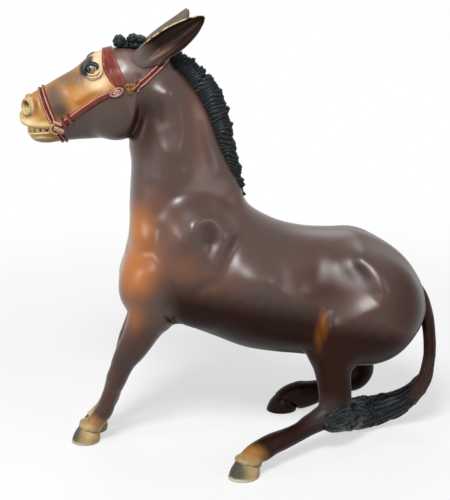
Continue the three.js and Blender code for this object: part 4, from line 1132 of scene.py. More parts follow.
class Painter:
    """Adds nodes to one material or node group: masks, layers and the finish of the paint."""

    def __init__(self, tree, place):
        self.tree = tree
        self.place = place

    def node(self, kind, inputs=(), **settings):
        """A node with its settings, then its inputs set or linked by label or number."""
        node = self.tree.nodes.new("ShaderNode" + kind)
        for name, value in settings.items():
            setattr(node, name, value)
        for label, value in dict(inputs).items():
            self.link(value, node.inputs[label])
        return node

    def link(self, source, target):
        """Links a socket to the target, or sets the target to a number, vector or colour."""
        if isinstance(source, bpy.types.NodeSocket):
            self.tree.links.new(source, target)
        else:
            target.default_value = (*source, 1) if target.type == "RGBA" else source

    def maths(self, operation, *values, clamp=True):
        return self.node("Math", enumerate(values), operation=operation, use_clamp=clamp).outputs[0]

    def vector(self, operation, *values):
        node = self.node("VectorMath", enumerate(values), operation=operation)
        return node.outputs["Value" if operation in ("LENGTH", "DOT_PRODUCT") else "Vector"]

    def noise(self, scale, detail=2, stretch=None):
        place = self.place
        if stretch:
            place = self.node("Mapping", {"Vector": place, "Scale": stretch}).outputs[0]
        return self.node("TexNoise", {"Vector": place, "Scale": scale, "Detail": detail}).outputs["Fac"]

    def ramp(self, value, low, high, bottom=0, top=1, smooth=True):
        """Goes from bottom to top while the value goes from low to high."""
        labels = ("Value", "From Min", "From Max", "To Min", "To Max")
        kind = "SMOOTHSTEP" if smooth else "LINEAR"
        node = self.node("MapRange", zip(labels, (value, low, high, bottom, top)), interpolation_type=kind)
        return node.outputs["Result"]

    def mix(self, mask, under, over):
        return self.node("Mix", ((0, mask), (6, under), (7, over)), data_type="RGBA").outputs[2]

    def group(self, name, **values):
        inputs = {label.replace("_", " ").capitalize(): value for label, value in values.items()}
        return self.node("Group", inputs, node_tree=bpy.data.node_groups[name])

    def attribute(self, name):
        return self.node("Attribute", attribute_name=name).outputs["Fac"]

    def spot(self, centre, radii, edge=0.5, strength=1.0, warped=True):
        """A mask that is full at a place and fades out round an oval, its edge wandering."""
        return self.group(
            "soft spot",
            place=self.place,
            centre=tuple(c * MM for c in centre),
            radii=tuple(r * MM for r in radii),
            edge=edge,
            strength=strength,
            wander=0.18 if warped else 0.0,
        ).outputs["Mask"]

    def spots(self, marks):
        """The strongest of several spots."""
        first, *others = [self.spot(*mark) for mark in marks]
        for mask in others:
            first = self.maths("MAXIMUM", first, mask)
        return first

    def beyond(self, edge):
        """A mask that is full across one of the edges between paints, eased over its width."""
        (x, z), (across, up), soft, wander = PAINT_EDGES[edge]
        normal = unit(np.array([across, 0.0, up]))
        return self.group(
            "far side",
            place=self.place,
            normal=tuple(float(n) for n in normal),
            offset=float(np.dot((x, MID_Y, z), normal)) * MM,
            soft=soft * MM,
            wander=wander * soft * MM,
        ).outputs["Mask"]

    def cover(self, colour, shade, marks):
        """Lays a shade over the colour at the marks."""
        return self.mix(self.spots(marks), colour, shade)

    def layers(self, colour, paints, rows):
        """Lays rows of a paint and its marks over the colour, each mark on both flanks."""
        for shade, *marks in rows:
            shade = getattr(paints, shade) if isinstance(shade, str) else shade
            colour = self.cover(colour, shade, both_sides(*marks))
        return colour

    def finish(self, colour, mottled, gloss=(0.30, 0.46), specks=1.0, cloud=0.5):
        """Lays the mottling and the specks over the colour and links the whole surface."""
        hand = self.group("hand paint", place=self.place, speck_amount=specks).outputs
        colour = self.mix(self.maths("MULTIPLY", hand["Mottle"], cloud), colour, mottled)
        bump = self.node("Bump", {"Distance": BRUSH_MARK_HEIGHT * MM, "Height": hand["Height"]})
        surface = {
            "Base Color": self.mix(hand["Specks"], colour, SPECK),
            "Roughness": self.ramp(hand["Mottle"], 0, 1, *gloss, smooth=False),
            "Normal": bump.outputs[0],
            "Specular IOR Level": 0.1,
        }
        for label, value in surface.items():
            self.link(value, self.shader.inputs[label])
        return self.material


def new_paint(name, coat=0.0, coat_roughness=0.1, roughness=0.4):
    """A painter for a new material, on the object's own coordinates."""
    material = bpy.data.materials.new(name)
    material.use_nodes = True
    tree = material.node_tree
    painter = Painter(tree, tree.nodes.new("ShaderNodeTexCoord").outputs["Object"])
    painter.material, painter.shader = material, tree.nodes["Principled BSDF"]
    painter.shader.inputs["Roughness"].default_value = roughness
    painter.shader.inputs["Coat Weight"].default_value = coat
    painter.shader.inputs["Coat Roughness"].default_value = coat_roughness
    return painter


def new_group(name, inputs, outputs):
    """A painter for a new node group, with the group's inputs and outputs by label."""
    tree = bpy.data.node_groups.new(name, "ShaderNodeTree")
    for label, default in inputs.items():
        kind = "NodeSocketFloat" if isinstance(default, float) else "NodeSocketVector"
        tree.interface.new_socket(label, in_out="INPUT", socket_type=kind).default_value = default
    for label in outputs:
        tree.interface.new_socket(label, in_out="OUTPUT", socket_type="NodeSocketFloat")
    given, made = tree.nodes.new("NodeGroupInput").outputs, tree.nodes.new("NodeGroupOutput").inputs
    return Painter(tree, given["Place"]), given, made


def build_soft_spot():
    """Mask: the scaled distance to the centre plus noise, eased from full to none about one."""
    inputs = {"Place": (0, 0, 0), "Centre": (0, 0, 0), "Radii": (1, 1, 1)}
    inputs |= {"Edge": 0.5, "Strength": 1.0, "Wander": 0.18}
    painter, given, made = new_group("soft spot", inputs, ["Mask"])
    offset = painter.vector("SUBTRACT", given["Place"], given["Centre"])
    length = painter.vector("LENGTH", painter.vector("DIVIDE", offset, given["Radii"]))
    wander = painter.maths("MULTIPLY_ADD", painter.noise(110, 3), given["Wander"], length, clamp=False)
    inner = painter.maths("SUBTRACT", 1.0, given["Edge"], clamp=False)
    outer = painter.maths("ADD", 1.0, given["Edge"], clamp=False)
    painter.link(painter.ramp(wander, inner, outer, given["Strength"], 0), made["Mask"])


def build_far_side():
    """Mask: the place along the normal plus noise, eased in over a width from the offset."""
    inputs = {"Place": (0, 0, 0), "Normal": (0, 0, 1), "Offset": 0.0, "Soft": 0.001, "Wander": 0.001}
    painter, given, made = new_group("far side", inputs, ["Mask"])
    along = painter.vector("DOT_PRODUCT", given["Place"], given["Normal"])
    wander = painter.maths("MULTIPLY_ADD", painter.noise(240), given["Wander"], along, clamp=False)
    beyond = painter.maths("ADD", given["Offset"], given["Soft"], clamp=False)
    painter.link(painter.ramp(wander, given["Offset"], beyond), made["Mask"])


def build_hand_paint():
    """Paint laid by hand: soft cloudy mottling, the height of the brush marks and dust specks."""
    inputs = {"Place": (0, 0, 0), "Speck amount": 1.0}
    painter, given, made = new_group("hand paint", inputs, ["Mottle", "Height", "Specks"])
    painter.link(painter.noise(55, 4), made["Mottle"])
    grain = painter.noise(900, 2, (0.35, 1, 1))
    height = painter.maths("MULTIPLY_ADD", grain, 0.25, painter.noise(260, 3), clamp=False)
    painter.link(height, made["Height"])
    dots = painter.node("TexVoronoi", {"Vector": given["Place"], "Scale": 95}).outputs
    near = painter.ramp(dots["Distance"], 0.030, 0.045, 1, 0, smooth=False)
    few = painter.maths("GREATER_THAN", dots["Color"], 0.93)
    specks = painter.maths("MULTIPLY", painter.maths("MULTIPLY", near, few), given["Speck amount"])
    painter.link(specks, made["Specks"])


def both_sides(*marks):
    """The same marks on the near and the far flank, their y counted from the middle plane."""
    return [((x, MID_Y + side * y, z), *rest) for (x, y, z), *rest in marks for side in (LEFT, RIGHT)]


def near_eye(x, out, z):
    """A place beside the eye, with y from the middle plane."""
    return head_place(*EYE_SHARES, RIGHT) + (x, out - MID_Y, z)


EYE_LAYERS = (
    # A lighter grey on the poll: its grey paint, and partly a painted sheen
    (linear("7c6460"), ((-46.5, 9, 173.5), (5.5, 14, 7), 0.7, 0.7)),
    ("glow", (near_eye(0.3, 1.6, 0), (4.6, 4.0, 3.6), 0.15, 1.0, False)),
    (
        "soot",
        ((-64.3, 9.5, 170.6), (3.0, 9.6, 4.6), 0.2, 1.0),
        ((-63.0, 7.8, 173.4), (3.3, 8.0, 3.1), 0.2, 1.0),
    ),
    ("glow", (near_eye(1.8, 1.6, -2.0), (3.1, 4.0, 1.5), 0.3, 1.0, False)),
    ("soot", (near_eye(0.1, 1.6, 1.1), (3.5, 4.0, 2.2), 0.08, 1.0, False)),
    # Round the nostril: a painted shadow behind the rim and painted shade inside, darkest at the top
    (NOSTRIL_SHADOW, ((-84.9, 7.8, 153.2), (0.9, 8, 2.6), 0.8, 0.8)),
    (NOSTRIL_INNER_SHADE, ((-88.9, 7.8, 153.4), (1.55, 8, 2.7), 0.3, 0.9)),
    (NOSTRIL_TOP_SHADE, ((-88.7, 7.8, 155.0), (1.5, 8, 1.7), 0.6, 1.0)),
    ("russet", ((-82.6, 6, 143.0), (2.6, 10, 0.8), 0.3, 0.95)),
)
IRIS_LAYERS = (
    ("eye", (near_eye(-0.6, 2.3, 0), (2.3, 4, 2.2), 0.1, 1.0, False)),
    # A painted glint high on the ball
    (EYE_GLINT, (near_eye(0.3, 2.3, 0.7), (1.2, 4, 0.8), 0.5, 1.0, False)),
    ("amber", (near_eye(0.5, 2.3, -1.0), (1.1, 4, 0.75), 0.3, 1.0, False)),
    (PUPIL, (near_eye(-0.9, 2.3, -0.1), (1.0, 4, 1.3), 0.2, 1.0, False)),
)


def hide_material(paints):
    """Dark brown with russet and amber on the muscles, painted shade in the hollows and underneath, and pale
    fetlocks.
    """
    painter = new_paint("mule hide", coat_roughness=0.37)
    colour = painter.layers(paints.hide, paints, [("russet", *RUSSET_MARKS)])
    # Painted shade: hollows on the hip, shoulder and neck darkened to the hide's shade colour
    deep = painter.spots(both_sides(*HOLLOW_SHADE_MARKS))
    colour = painter.mix(deep, colour, paints.hide_shade)
    # Painted shade on the lower body: darker towards the belly and the lower legs, behind the jaw and low on
    # the rump; the same mask dulls the lacquer
    under = painter.maths("MULTIPLY", painter.beyond("belly"), painter.beyond("elbow"))
    limb = painter.maths("MULTIPLY", painter.beyond("legs"), 0.45)
    for mask in (limb, painter.spots(both_sides(THROAT_SHADE_MARK)), painter.spots(both_sides(RUMP_SHADE_MARK))):
        under = painter.maths("MAXIMUM", under, mask)
    colour = painter.mix(painter.maths("MULTIPLY", under, 0.9), colour, paints.hide_shade)
    colour = painter.layers(colour, paints, [("amber", *AMBER_MARKS)])
    socks = [foot(stations) for _, stations, _ in legs()[:3]]
    golden = [(end + (0.5, 0, 2.5) - toe * 1.5, (7.5, 8, 5.2), 0.35, 0.9) for end, toe, _ in socks]
    colour = painter.cover(colour, paints.muzzle, golden)
    colour = painter.cover(colour, DUSK, [DUSK_MARK])
    pale = [(end + toe * 1.5 + (0, 0, 0.2), (6.5, 7, 3.2), 0.6, 0.95) for end, toe, _ in socks]
    colour = painter.cover(colour, paints.cream, pale)
    dull = painter.maths("MAXIMUM", under, painter.maths("MULTIPLY", deep, 0.8))
    dull = painter.maths("MAXIMUM", dull, painter.spots(both_sides(*DULL_MARKS)))
    painter.link(painter.maths("SUBTRACT", 1.0, dull), painter.shader.inputs["Coat Weight"])
    painter.link(LACQUER_IOR, painter.shader.inputs["Coat IOR"])
    return painter.finish(colour, paints.hide_shade, (0.30, 0.42))


def face_material(paints):
    """Golden tan with a cream muzzle, a dark jowl and an eye patch, hide brown behind the brow."""
    painter = new_paint("mule face", coat_roughness=0.33)
    colour = painter.layers(paints.face, paints, FACE_LAYERS)
    colour = painter.mix(painter.beyond("muzzle"), colour, paints.muzzle)
    lips = [((-91.0, MID_Y, 146.8), (7.5, 20, 3.2), 0.5, 1.0), ((-84, MID_Y, 145.6), (7, 20, 1.8), 0.6, 0.7)]
    colour = painter.cover(colour, paints.cream, both_sides(*CREAM_MARKS) + lips)
    behind = painter.beyond("chin")
    line = painter.maths("MULTIPLY", painter.maths("MULTIPLY", painter.beyond("cheek"), behind), 0.7)
    colour = painter.mix(line, colour, paints.muzzle)
    jowl = painter.maths("MULTIPLY", painter.beyond("jowl"), behind)
    colour = painter.mix(jowl, colour, paints.jowl)
    crown = painter.beyond("crown")
    colour = painter.mix(crown, colour, paints.hide)
    colour = painter.layers(colour, paints, EYE_LAYERS)
    polish = painter.maths("MAXIMUM", crown, painter.maths("MULTIPLY", jowl, 0.75))
    painter.link(painter.maths("MAXIMUM", polish, 0.35), painter.shader.inputs["Coat Weight"])
    painter.link(LACQUER_IOR, painter.shader.inputs["Coat IOR"])
    return painter.finish(colour, paints.bridge, specks=0.4, cloud=0.2)


def ridged_material(name, valley, crest, gloss, spread=(0.35, 0.95), crest_noise_scale=220, stain=None, rubbed_highlight=None):
    """Paint with painted shade in the grooves and a painted highlight along the crests, by the ridge
    attribute.

    A stain is a mark and its colour. The pale crest colour lies on the very crests, broken by noise: partly a
    painted highlight, partly chipped paint.
    """
    painter = new_paint(name, 0.1, 0.3)
    crest_noise, ridge = painter.noise(crest_noise_scale, 4), painter.attribute("ridge")
    # Painted highlight on the crests and painted shade in the grooves, broken by noise
    lit = painter.maths("MULTIPLY", painter.ramp(ridge, *spread), painter.maths("MULTIPLY", crest_noise, 1.5))
    colour = painter.mix(lit, valley, crest)
    # Pale flecks on the very crests: partly a painted highlight, partly chipped paint
    if rubbed_highlight:
        crests = painter.ramp(ridge, 0.80, 1.05)
        rubbed_highlight_mask = painter.maths("MULTIPLY", crests, painter.maths("MULTIPLY", crest_noise, 1.3))
        colour = painter.mix(rubbed_highlight_mask, colour, rubbed_highlight)
    if stain:
        colour = painter.cover(colour, stain[1], [stain[0]])
    return painter.finish(colour, valley, gloss, specks=0.5)


def hoof_material(paints):
    """Horn, dark at the toe, paler at the heel, with a pale chipped rim at the ground and painted shade on
    the far hind hoof.
    """
    painter = new_paint("mule hoof", coat_roughness=0.3)
    colour = painter.mix(painter.noise(260, 5), paints.muzzle, paints.cream)
    feet = [(*foot(stations)[:2], sole) for _, stations, sole in legs()]
    toes = [end * (1, 1, 0) + toe * sole[0] * 0.42 + (0, 0, 4) for end, toe, sole in feet]
    colour = painter.cover(colour, paints.horn, [(toe, (6.5, 7.0, 6.0), 0.45, 0.95) for toe in toes])
    colour = painter.cover(colour, HOOF_DARK, [(toe, (4.4, 5.2, 5.4), 0.5, 0.85) for toe in toes])
    colour = painter.mix(painter.beyond("hoof rim"), colour, HOOF_RIM)
    # Painted shade: the far hind hoof darkened to the hide's shade colour
    far_hind = feet[-1][0] * (1, 1, 0) + (0, 0, 3)
    shade = painter.spot(far_hind, (15, 12, 12), 0.1)
    colour = painter.mix(shade, colour, paints.hide_shade)
    return painter.finish(colour, painter.mix(shade, paints.horn, paints.hide_shade), specks=0.2)


def ear_material(paints):
    """Grey brown outside, dark inside with painted light on the lower fold, and a cream rim that has chipped.
    """
    painter = new_paint("mule ear", 0.05, 0.3)
    colour = painter.mix(painter.attribute("inside"), paints.ear_back, paints.ear_inside)
    # Painted light: a pinkish brown on the lower fold inside the ear
    colour = painter.mix(painter.attribute("fold"), colour, EAR_FOLD_LIGHT)
    chips = painter.ramp(painter.noise(330, 4), 0.42, 0.58)
    colour = painter.mix(painter.maths("MULTIPLY", painter.attribute("rim"), chips), colour, paints.cream)
    return painter.finish(colour, paints.hide_shade, specks=0.3)


def eye_material(paints):
    """Near black paint, with an amber patch low behind the pupil, a painted glint high on the ball and a pale
    rear corner.
    """
    painter = new_paint("mule eye", 0.6, 0.05, 0.1)
    painter.link(painter.layers(paints.glow, paints, IRIS_LAYERS), painter.shader.inputs["Base Color"])
    return painter.material


def tooth_material(paints):
    return new_paint("mule teeth", 0.15, 0.2).finish(paints.tooth, paints.muzzle, (0.25, 0.4), specks=0.3)


def hair_material(paints):
    """Black hair with cool lights on its crests, brown where the tail hair leaves the stalk."""
    if "mule hair" in bpy.data.materials:
        return bpy.data.materials["mule hair"]
    root = tail_stations(TUFT_SHARES, TUFT_THICKNESS)[0, :3]
    stain = (root - (3.0, 0, 13.0), (5.5, 16, 19), 0.45, 1.0), HAIR_ROOT
    return ridged_material("mule hair", paints.hair, paints.hair_light, (0.32, 0.5), (0.72, 1.05), 150, stain)


# Operators


class BuildOperator:
    """What the operators share: the sizes, the paints and the result."""

    bl_options = {"REGISTER", "UNDO"}

    def execute(self, context):
        self.build(context.scene.mule_sizes, context.scene.mule_paints)
        return {"FINISHED"}


class MULE_OT_paints(BuildOperator, bpy.types.Operator):
    """Builds the node groups that the paints share"""

    bl_idname = "mule.paints"
    bl_label = "Shared paint effects"

    def build(self, sizes, paints):
        build_soft_spot()
        build_far_side()
        build_hand_paint()


class MULE_OT_hide(BuildOperator, bpy.types.Operator):
    """Builds the hide of trunk, neck and legs as one soft skin"""

    bl_idname = "mule.hide"
    bl_label = "Body hide"

    def build(self, sizes, paints):
        lattice, values = body_field(sizes)
        points, quads = lattice.skin(values)
        mesh = quad_mesh("body_hide", relax(points, quads, 2), quads)
        cut_at_neck(mesh, "body")
        nodes = [f"{word}_{part}" for word, _ in SIDES for part in ("body_shell", "foreleg", "hind_leg")]
        dress("body_hide", mesh, "hide", nodes, hide_material(paints))


class MULE_OT_head(BuildOperator, bpy.types.Operator):
    """Builds the head with its cheeks, eye lids, nostrils and mouth"""

    bl_idname = "mule.head"
    bl_label = "Head"

    def build(self, sizes, paints):
        lattice, values = head_field(sizes)
        points, quads = lattice.skin(values)
        mesh = quad_mesh("head_hide", relax(points, quads, 1), quads)
        cut_at_neck(mesh, "head")
        dress("head_hide", mesh, "face", ["left_head_shell", "right_head_shell"], face_material(paints))


class MULE_OT_hooves(BuildOperator, bpy.types.Operator):
    """Builds the four hooves"""

    bl_idname = "mule.hooves"
    bl_label = "Hooves"

    def build(self, sizes, paints):
        material = hoof_material(paints)
        for name, stations, sole in legs():
            plain_piece(f"{name}_hoof_wall", [self.wall(stations, sole)], "hoof", f"{name}_hoof", material)

    def wall(self, stations, sole):
        """Rings from inside the pastern to the ground, from the leg's oval to the longer sole.

        The wall bulges at the coronet, flares straight to the rim with faint growth rings and
        turns under to a hollow sole.
        """
        crown = tube_grid(stations, np.array([1.0]), 72, ANKLE_LEVEL_SHARE)
        end, toe, _ = foot(stations)
        across = unit(SIDEWAYS - toe * toe[1])
        heart = end * (1, 1, 0) + toe * sole[0] * SOLE_OVERHANG_SHARE
        angle = turns(72)[:, None]
        rim = heart - toe * np.cos(angle) * sole[0] / 2 + across * np.sin(angle) * sole[1] / 2
        down, swell, lift = (np.array(row)[:, None, None] for row in (HOOF_DOWN, HOOF_SWELL, HOOF_LIFT))
        grid = crown * (1 - down) + rim[None] * down
        middle = grid.mean(1, keepdims=True)
        rings = 0.10 * np.sin(angle * 2)[None] * np.sin(down * 26) / 7
        grid = middle + (grid - middle) * (swell + rings)
        grid[..., 2] = np.maximum(grid[..., 2], 0) + lift[..., 0]
        return grid


class MULE_OT_tail(BuildOperator, bpy.types.Operator):
    """Builds the tail stalk and the swept tuft of hair"""

    bl_idname = "mule.tail"
    bl_label = "Tail"

    def build(self, sizes, paints):
        dock = tail_stations(DOCK_SHARES, TAIL_THICKNESS)
        # The stalk's grooves take painted shade
        stalk = ridged_material("mule tail stalk", paints.hide_shade, paints.hide, (0.3, 0.45))
        parts = [self.combed(dock, even(160), 64, 5, 0.18, 31)]
        ridged_piece("tail_stalk", parts, "hide", "tail_dock", stalk)
        tuft = tail_stations(TUFT_SHARES, TUFT_THICKNESS)
        tuft[:4, 3:] *= np.array(TUFT_NECK)[:, None]
        parts = [self.combed(tuft, even(420), 130, 16, 0.42, 7)]
        parts += [self.lock(tuft, place) for place in range(TAIL_LOCKS)]
        parts += self.draped(tuft, *body_field(sizes))
        points, faces, ridge = joined(parts)
        points[:, 2] = np.maximum(points[:, 2], 0.05)
        new_piece("tail_hair", points, faces, "hair", "tail_tuft", hair_material(paints), [("ridge", ridge)])

    def draped(self, tuft, lattice, values):
        """Locks that leave the tuft, lie over the near side of the hock and meet in a point.

        Their lines in the side view are spread between the clump's upper and lower edge and
        dropped along Y onto the joined hock and tuft.
        """
        hair = lattice.distance(closed_mesh(tube_grid(tuft, even(160), 48)), 4)
        skin = soft_join(values, hair, 1.0)
        share = even(70)
        locks = []
        for place in even(HOCK_LOCKS):
            source = np.random.default_rng(300 + int(place * 100))
            line = (1 - place) * np.array(HOCK_HAIR_LOW) + place * np.array(HOCK_HAIR_HIGH)
            line = curve(line, share)
            line[:, 1] += 0.55 * np.sin(share * source.uniform(9, 16) + source.uniform(0, 6)) * (1 - share)
            start = np.stack([line[:, 0], np.full(share.shape, -45.0), line[:, 1]], -1)
            ground = lattice.drop(skin, start, np.broadcast_to([0, 1.0, 0], start.shape))
            sunk = np.pad(np.minimum(ground[:, 1], -3) + 0.6, 6, "edge")
            ground[:, 1] = np.convolve(sunk, np.ones(13) / 13, "valid")
            start = source.uniform(0.0, 0.4)
            swell = np.clip(np.sin(np.pi * np.clip((share - start) / (1 - start), 0.0, 1)), 0.03, 1) ** 0.75
            radius = (source.uniform(0.9, 1.35) * swell)[:, None]
            grid = tube_grid(np.hstack([ground, radius, radius]), np.linspace(start, 1, len(share)), 16)
            locks.append((grid, 0.5 + 0.5 * np.abs(np.cos(1.5 * turns(16) + 3 * share[:, None]))))
        return locks

    def combed(self, stations, along, sides, locks, depth, seed):
        """A tube whose skin is combed: folds run along it and drift round it as sines wander."""
        grid = tube_grid(stations, along, sides)
        angle = turns(sides)[None, :]
        share = along[:, None]
        drift = 1.6 * noise_wave(share * 9, seed) + 2.2 * share
        broad = np.abs(np.cos((locks * angle + drift * 2 + 0.5 * np.sin(share * 40 + angle * 3)) / 2))
        fine = np.abs(np.cos(locks * 2 * angle + drift * 5 + np.sin(share * 63 + angle)))
        ridge = broad**0.7 * 0.75 + fine**0.8 * 0.25
        centre = grid.mean(1, keepdims=True)
        grid = grid + unit(grid - centre) * (depth * (ridge - 0.55))[..., None]
        return grid, ridge

    def lock(self, stations, place):
        """A tapered lock that lies on the tuft, waving from side to side, with a rounded crest."""
        source = np.random.default_rng(100 + place)
        start = source.uniform(0.06, 0.76)
        end = min(start + source.uniform(0.12, 0.24), 0.985)
        share = np.linspace(start, end, 60)
        centres, _, back, side, sizes = tube_frames(stations, share)
        angle = source.uniform(0, 2 * np.pi) + 0.9 * source.uniform(-1, 1) * (share - start) / (end - start)
        angle = (angle + 0.18 * np.sin((share - start) * 60 + source.uniform(0, 6)))[:, None]
        swell = np.sin(np.pi * np.clip((share - start) / (end - start), 0.02, 0.98))[:, None] ** 0.6
        out = back * np.cos(angle) * sizes[:, :1] + side * np.sin(angle) * sizes[:, 1:2]
        path = centres + out * (0.95 + 0.06 * swell)
        radius = source.uniform(0.5, 1.0) * swell * (0.7 + 0.6 * start)
        stations = np.hstack([path, radius, radius])
        return tube_grid(stations, even(60), 14), 0.55 + 0.45 * np.abs(np.cos(turns(14)))[None]


class MULE_OT_mane(BuildOperator, bpy.types.Operator):
    """Builds the cropped mane and the forelock"""

    bl_idname = "mule.mane"
    bl_label = "Mane and forelock"

    def build(self, sizes, paints):
        hair = hair_material(paints)
        ridged_piece("mane_hair", [self.crest(sizes.mane_locks)], "hair", "mane", hair)
        clumps = [self.clump(*row) for row in FORELOCK_CLUMPS]
        ridged_piece("forelock_hair", clumps, "hair", "forelock", hair)

    def crest(self, locks):
        """The mane's skin cut into locks that run from root to edge and droop at the edge.

        Height above the skin is the rounded fold of each lock, with finer strands in it, and
        the edge stands out further or less lock by lock.
        """
        share = even(720)
        rows = [(*on_neck(*row[:2]), *on_neck(*row[2:4]), row[4] * MANE_WIDTH, 0) for row in MANE_SHARES]
        grid = span_grid(rows, share, 90)
        angle = turns(90)[None, :]
        up = (np.cos(angle) + 1) / 2
        share = share[:, None]
        phase = 2 * np.pi * locks * (share - 0.035 * up**2) / 2
        phase = phase + 2.6 * noise_wave(share * 26 + 0.9 * np.sin(angle), 5)
        phase = phase + 0.9 * np.sin(4 * up + share * 40)
        broad = np.abs(np.sin(phase)) ** 0.6
        fine = np.abs(np.sin(phase * 3.1 + np.sin(angle * 2)))
        ridge = 0.72 * broad + 0.28 * fine
        middle = grid.mean(1, keepdims=True)
        edge = up**3 * (1.1 * noise_wave(share * 60, 11) - 0.2)
        grid = grid + unit(grid - middle) * (0.6 * (ridge - 0.6) + edge)[..., None]
        return grid, ridge

    def clump(self, centre, radii, lean, folds, twist):
        """A curled clump: an oval with folds that wind about the axis across the head."""
        polar = np.linspace(0.03, np.pi - 0.03, 60)[:, None]
        angle = turns(96)[None, :]
        wind = folds * angle / 2 + twist * polar + 0.35 * np.sin(3 * angle + 2 * polar)
        ridge = np.abs(np.cos(wind)) ** 0.7 * 0.75 + 0.25 * np.abs(np.cos(2.6 * wind + polar))
        size = 0.86 + 0.24 * ridge
        x = np.sin(polar) * np.cos(angle) * radii[0] * size
        y = np.cos(polar) * np.ones_like(angle) * radii[1]
        z = np.sin(polar) * np.sin(angle) * radii[2] * size
        x, z = x * math.cos(lean) - z * math.sin(lean), x * math.sin(lean) + z * math.cos(lean)
        return np.stack([x, y, z], -1) + np.array(centre), 0.25 + 0.75 * ridge


class MULE_OT_ears(BuildOperator, bpy.types.Operator):
    """Builds the two cupped ears"""

    bl_idname = "mule.ears"
    bl_label = "Ears"

    def build(self, sizes, paints):
        material = ear_material(paints)
        for word, side in SIDES:
            grid, *masks = self.cup(side)
            points, faces, _ = joined([(grid, 0)])
            labels = ("inside", "rim", "fold")
            attributes = [(label, joined([(grid, mask)])[2]) for label, mask in zip(labels, masks)]
            new_piece(f"{word}_ear_cup", points, faces, "ear", f"{word}_ear", material, attributes)

    def cup(self, side):
        """A crescent carried from root to tip.

        The first half turn is the back of the ear, an oval arc. The second half turn comes
        back inside it, a wall's thickness away, once the ear has opened; at the root it is the
        oval's other half, so the stalk is round.
        """
        share = even(150)
        stations = ear_stations(side)
        centres, _, back, across, sizes = tube_frames(stations, share)
        outward = across * side
        first = np.linspace(0, np.pi, 60)
        deep, thick = sizes[:, :1], sizes[:, 1:2]
        wall = np.minimum(1.15, 0.45 * thick)
        open_share = smooth_step(0.10, 0.34, share)[:, None]
        ripple = 0.3 * np.sin(7 * first)[None] * open_share
        lobe = bell(share - 0.30, 0.11)[:, None] * bell(np.cos(first) + 0.5, 0.26)[None]
        shell = -np.sin(first)[None] * thick * 1.05
        hollow = -np.sin(first)[None] * (thick - wall) + ripple * np.sin(first)[None]
        full = np.sin(first)[None] * thick * 0.85
        inner = full * (1 - open_share) + hollow * open_share
        inner = inner + 0.25 * open_share + 1.3 * lobe
        lean = np.cos(first)[None] * deep
        tuck = np.cos(first)[None] * (deep - 0.55 * open_share * np.minimum(1, deep / 2))
        outs = np.hstack([shell, inner[:, ::-1]])
        leans = np.hstack([lean, tuck[:, ::-1]])
        grid = centres[:, None] + back[:, None] * leans[..., None] + outward[:, None] * outs[..., None]
        inside = np.hstack([np.zeros_like(shell), np.ones_like(inner) * open_share])
        turn = np.concatenate([first, first[::-1]])
        rim = (bell(np.sin(turn), 0.20) * (np.cos(turn) > 0))[None] * open_share
        rim = np.maximum(rim, smooth_step(0.95, 1.0, share)[:, None] * np.ones_like(rim))
        fold = np.hstack([np.zeros_like(lobe), lobe[:, ::-1]])
        return grid, inside, rim, fold


class MULE_OT_face(BuildOperator, bpy.types.Operator):
    """Builds the eyes and the teeth"""

    bl_idname = "mule.face"
    bl_label = "Eyes and teeth"

    def build(self, sizes, paints):
        glassy = eye_material(paints)
        for word, side in SIDES:
            ball = self.ball(head_place(*EYE_SHARES, side), side)
            plain_piece(f"{word}_eye_ball", [ball], "eye", f"{word}_eye", glassy)
        plain_piece("tooth_row", map(self.tooth, range(TEETH)), "ivory", "teeth", tooth_material(paints))

    def ball(self, centre, side):
        """A ball with a slight bulge over the iris."""
        polar = np.linspace(0.03, np.pi - 0.03, 40)[:, None]
        angle = turns(56)[None, :]
        radius = EYE_RADIUS * (1 + 0.05 * bell(polar, 0.6))
        outward = np.array([-0.3, side, 0.1]) / np.linalg.norm([0.3, 1, 0.1])
        up = unit(np.cross(outward, (1, 0, 0)))
        across = np.cross(up, outward)
        ring = up * np.cos(angle)[..., None] + across * np.sin(angle)[..., None]
        ball = outward * np.cos(polar)[..., None] + ring * np.sin(polar)[..., None]
        return centre + ball * radius[..., None]

    def tooth(self, place):
        """A rounded block: the powers of the sines make it square, and it leans with the lips."""
        turn = (place - TEETH // 2) * TOOTH_TURN
        polar = np.linspace(0.04, np.pi - 0.04, 24)[:, None]
        angle = turns(28)[None, :]

        def square(values):
            return np.sign(values) * np.abs(values) ** 0.55

        across = square(np.sin(polar)) * square(np.cos(angle)) * 1.05
        out = square(np.sin(polar)) * square(np.sin(angle)) * 0.9
        up = square(np.cos(polar)) * np.ones_like(angle) * 1.35
        facing = np.array([-math.cos(turn), math.sin(turn), 0])
        beside = np.array([math.sin(turn), math.cos(turn), 0])
        seat = np.array(TOOTH_MIDDLE) + facing * TOOTH_ARC
        return seat + facing * out[..., None] + beside * across[..., None] + UP * up[..., None]


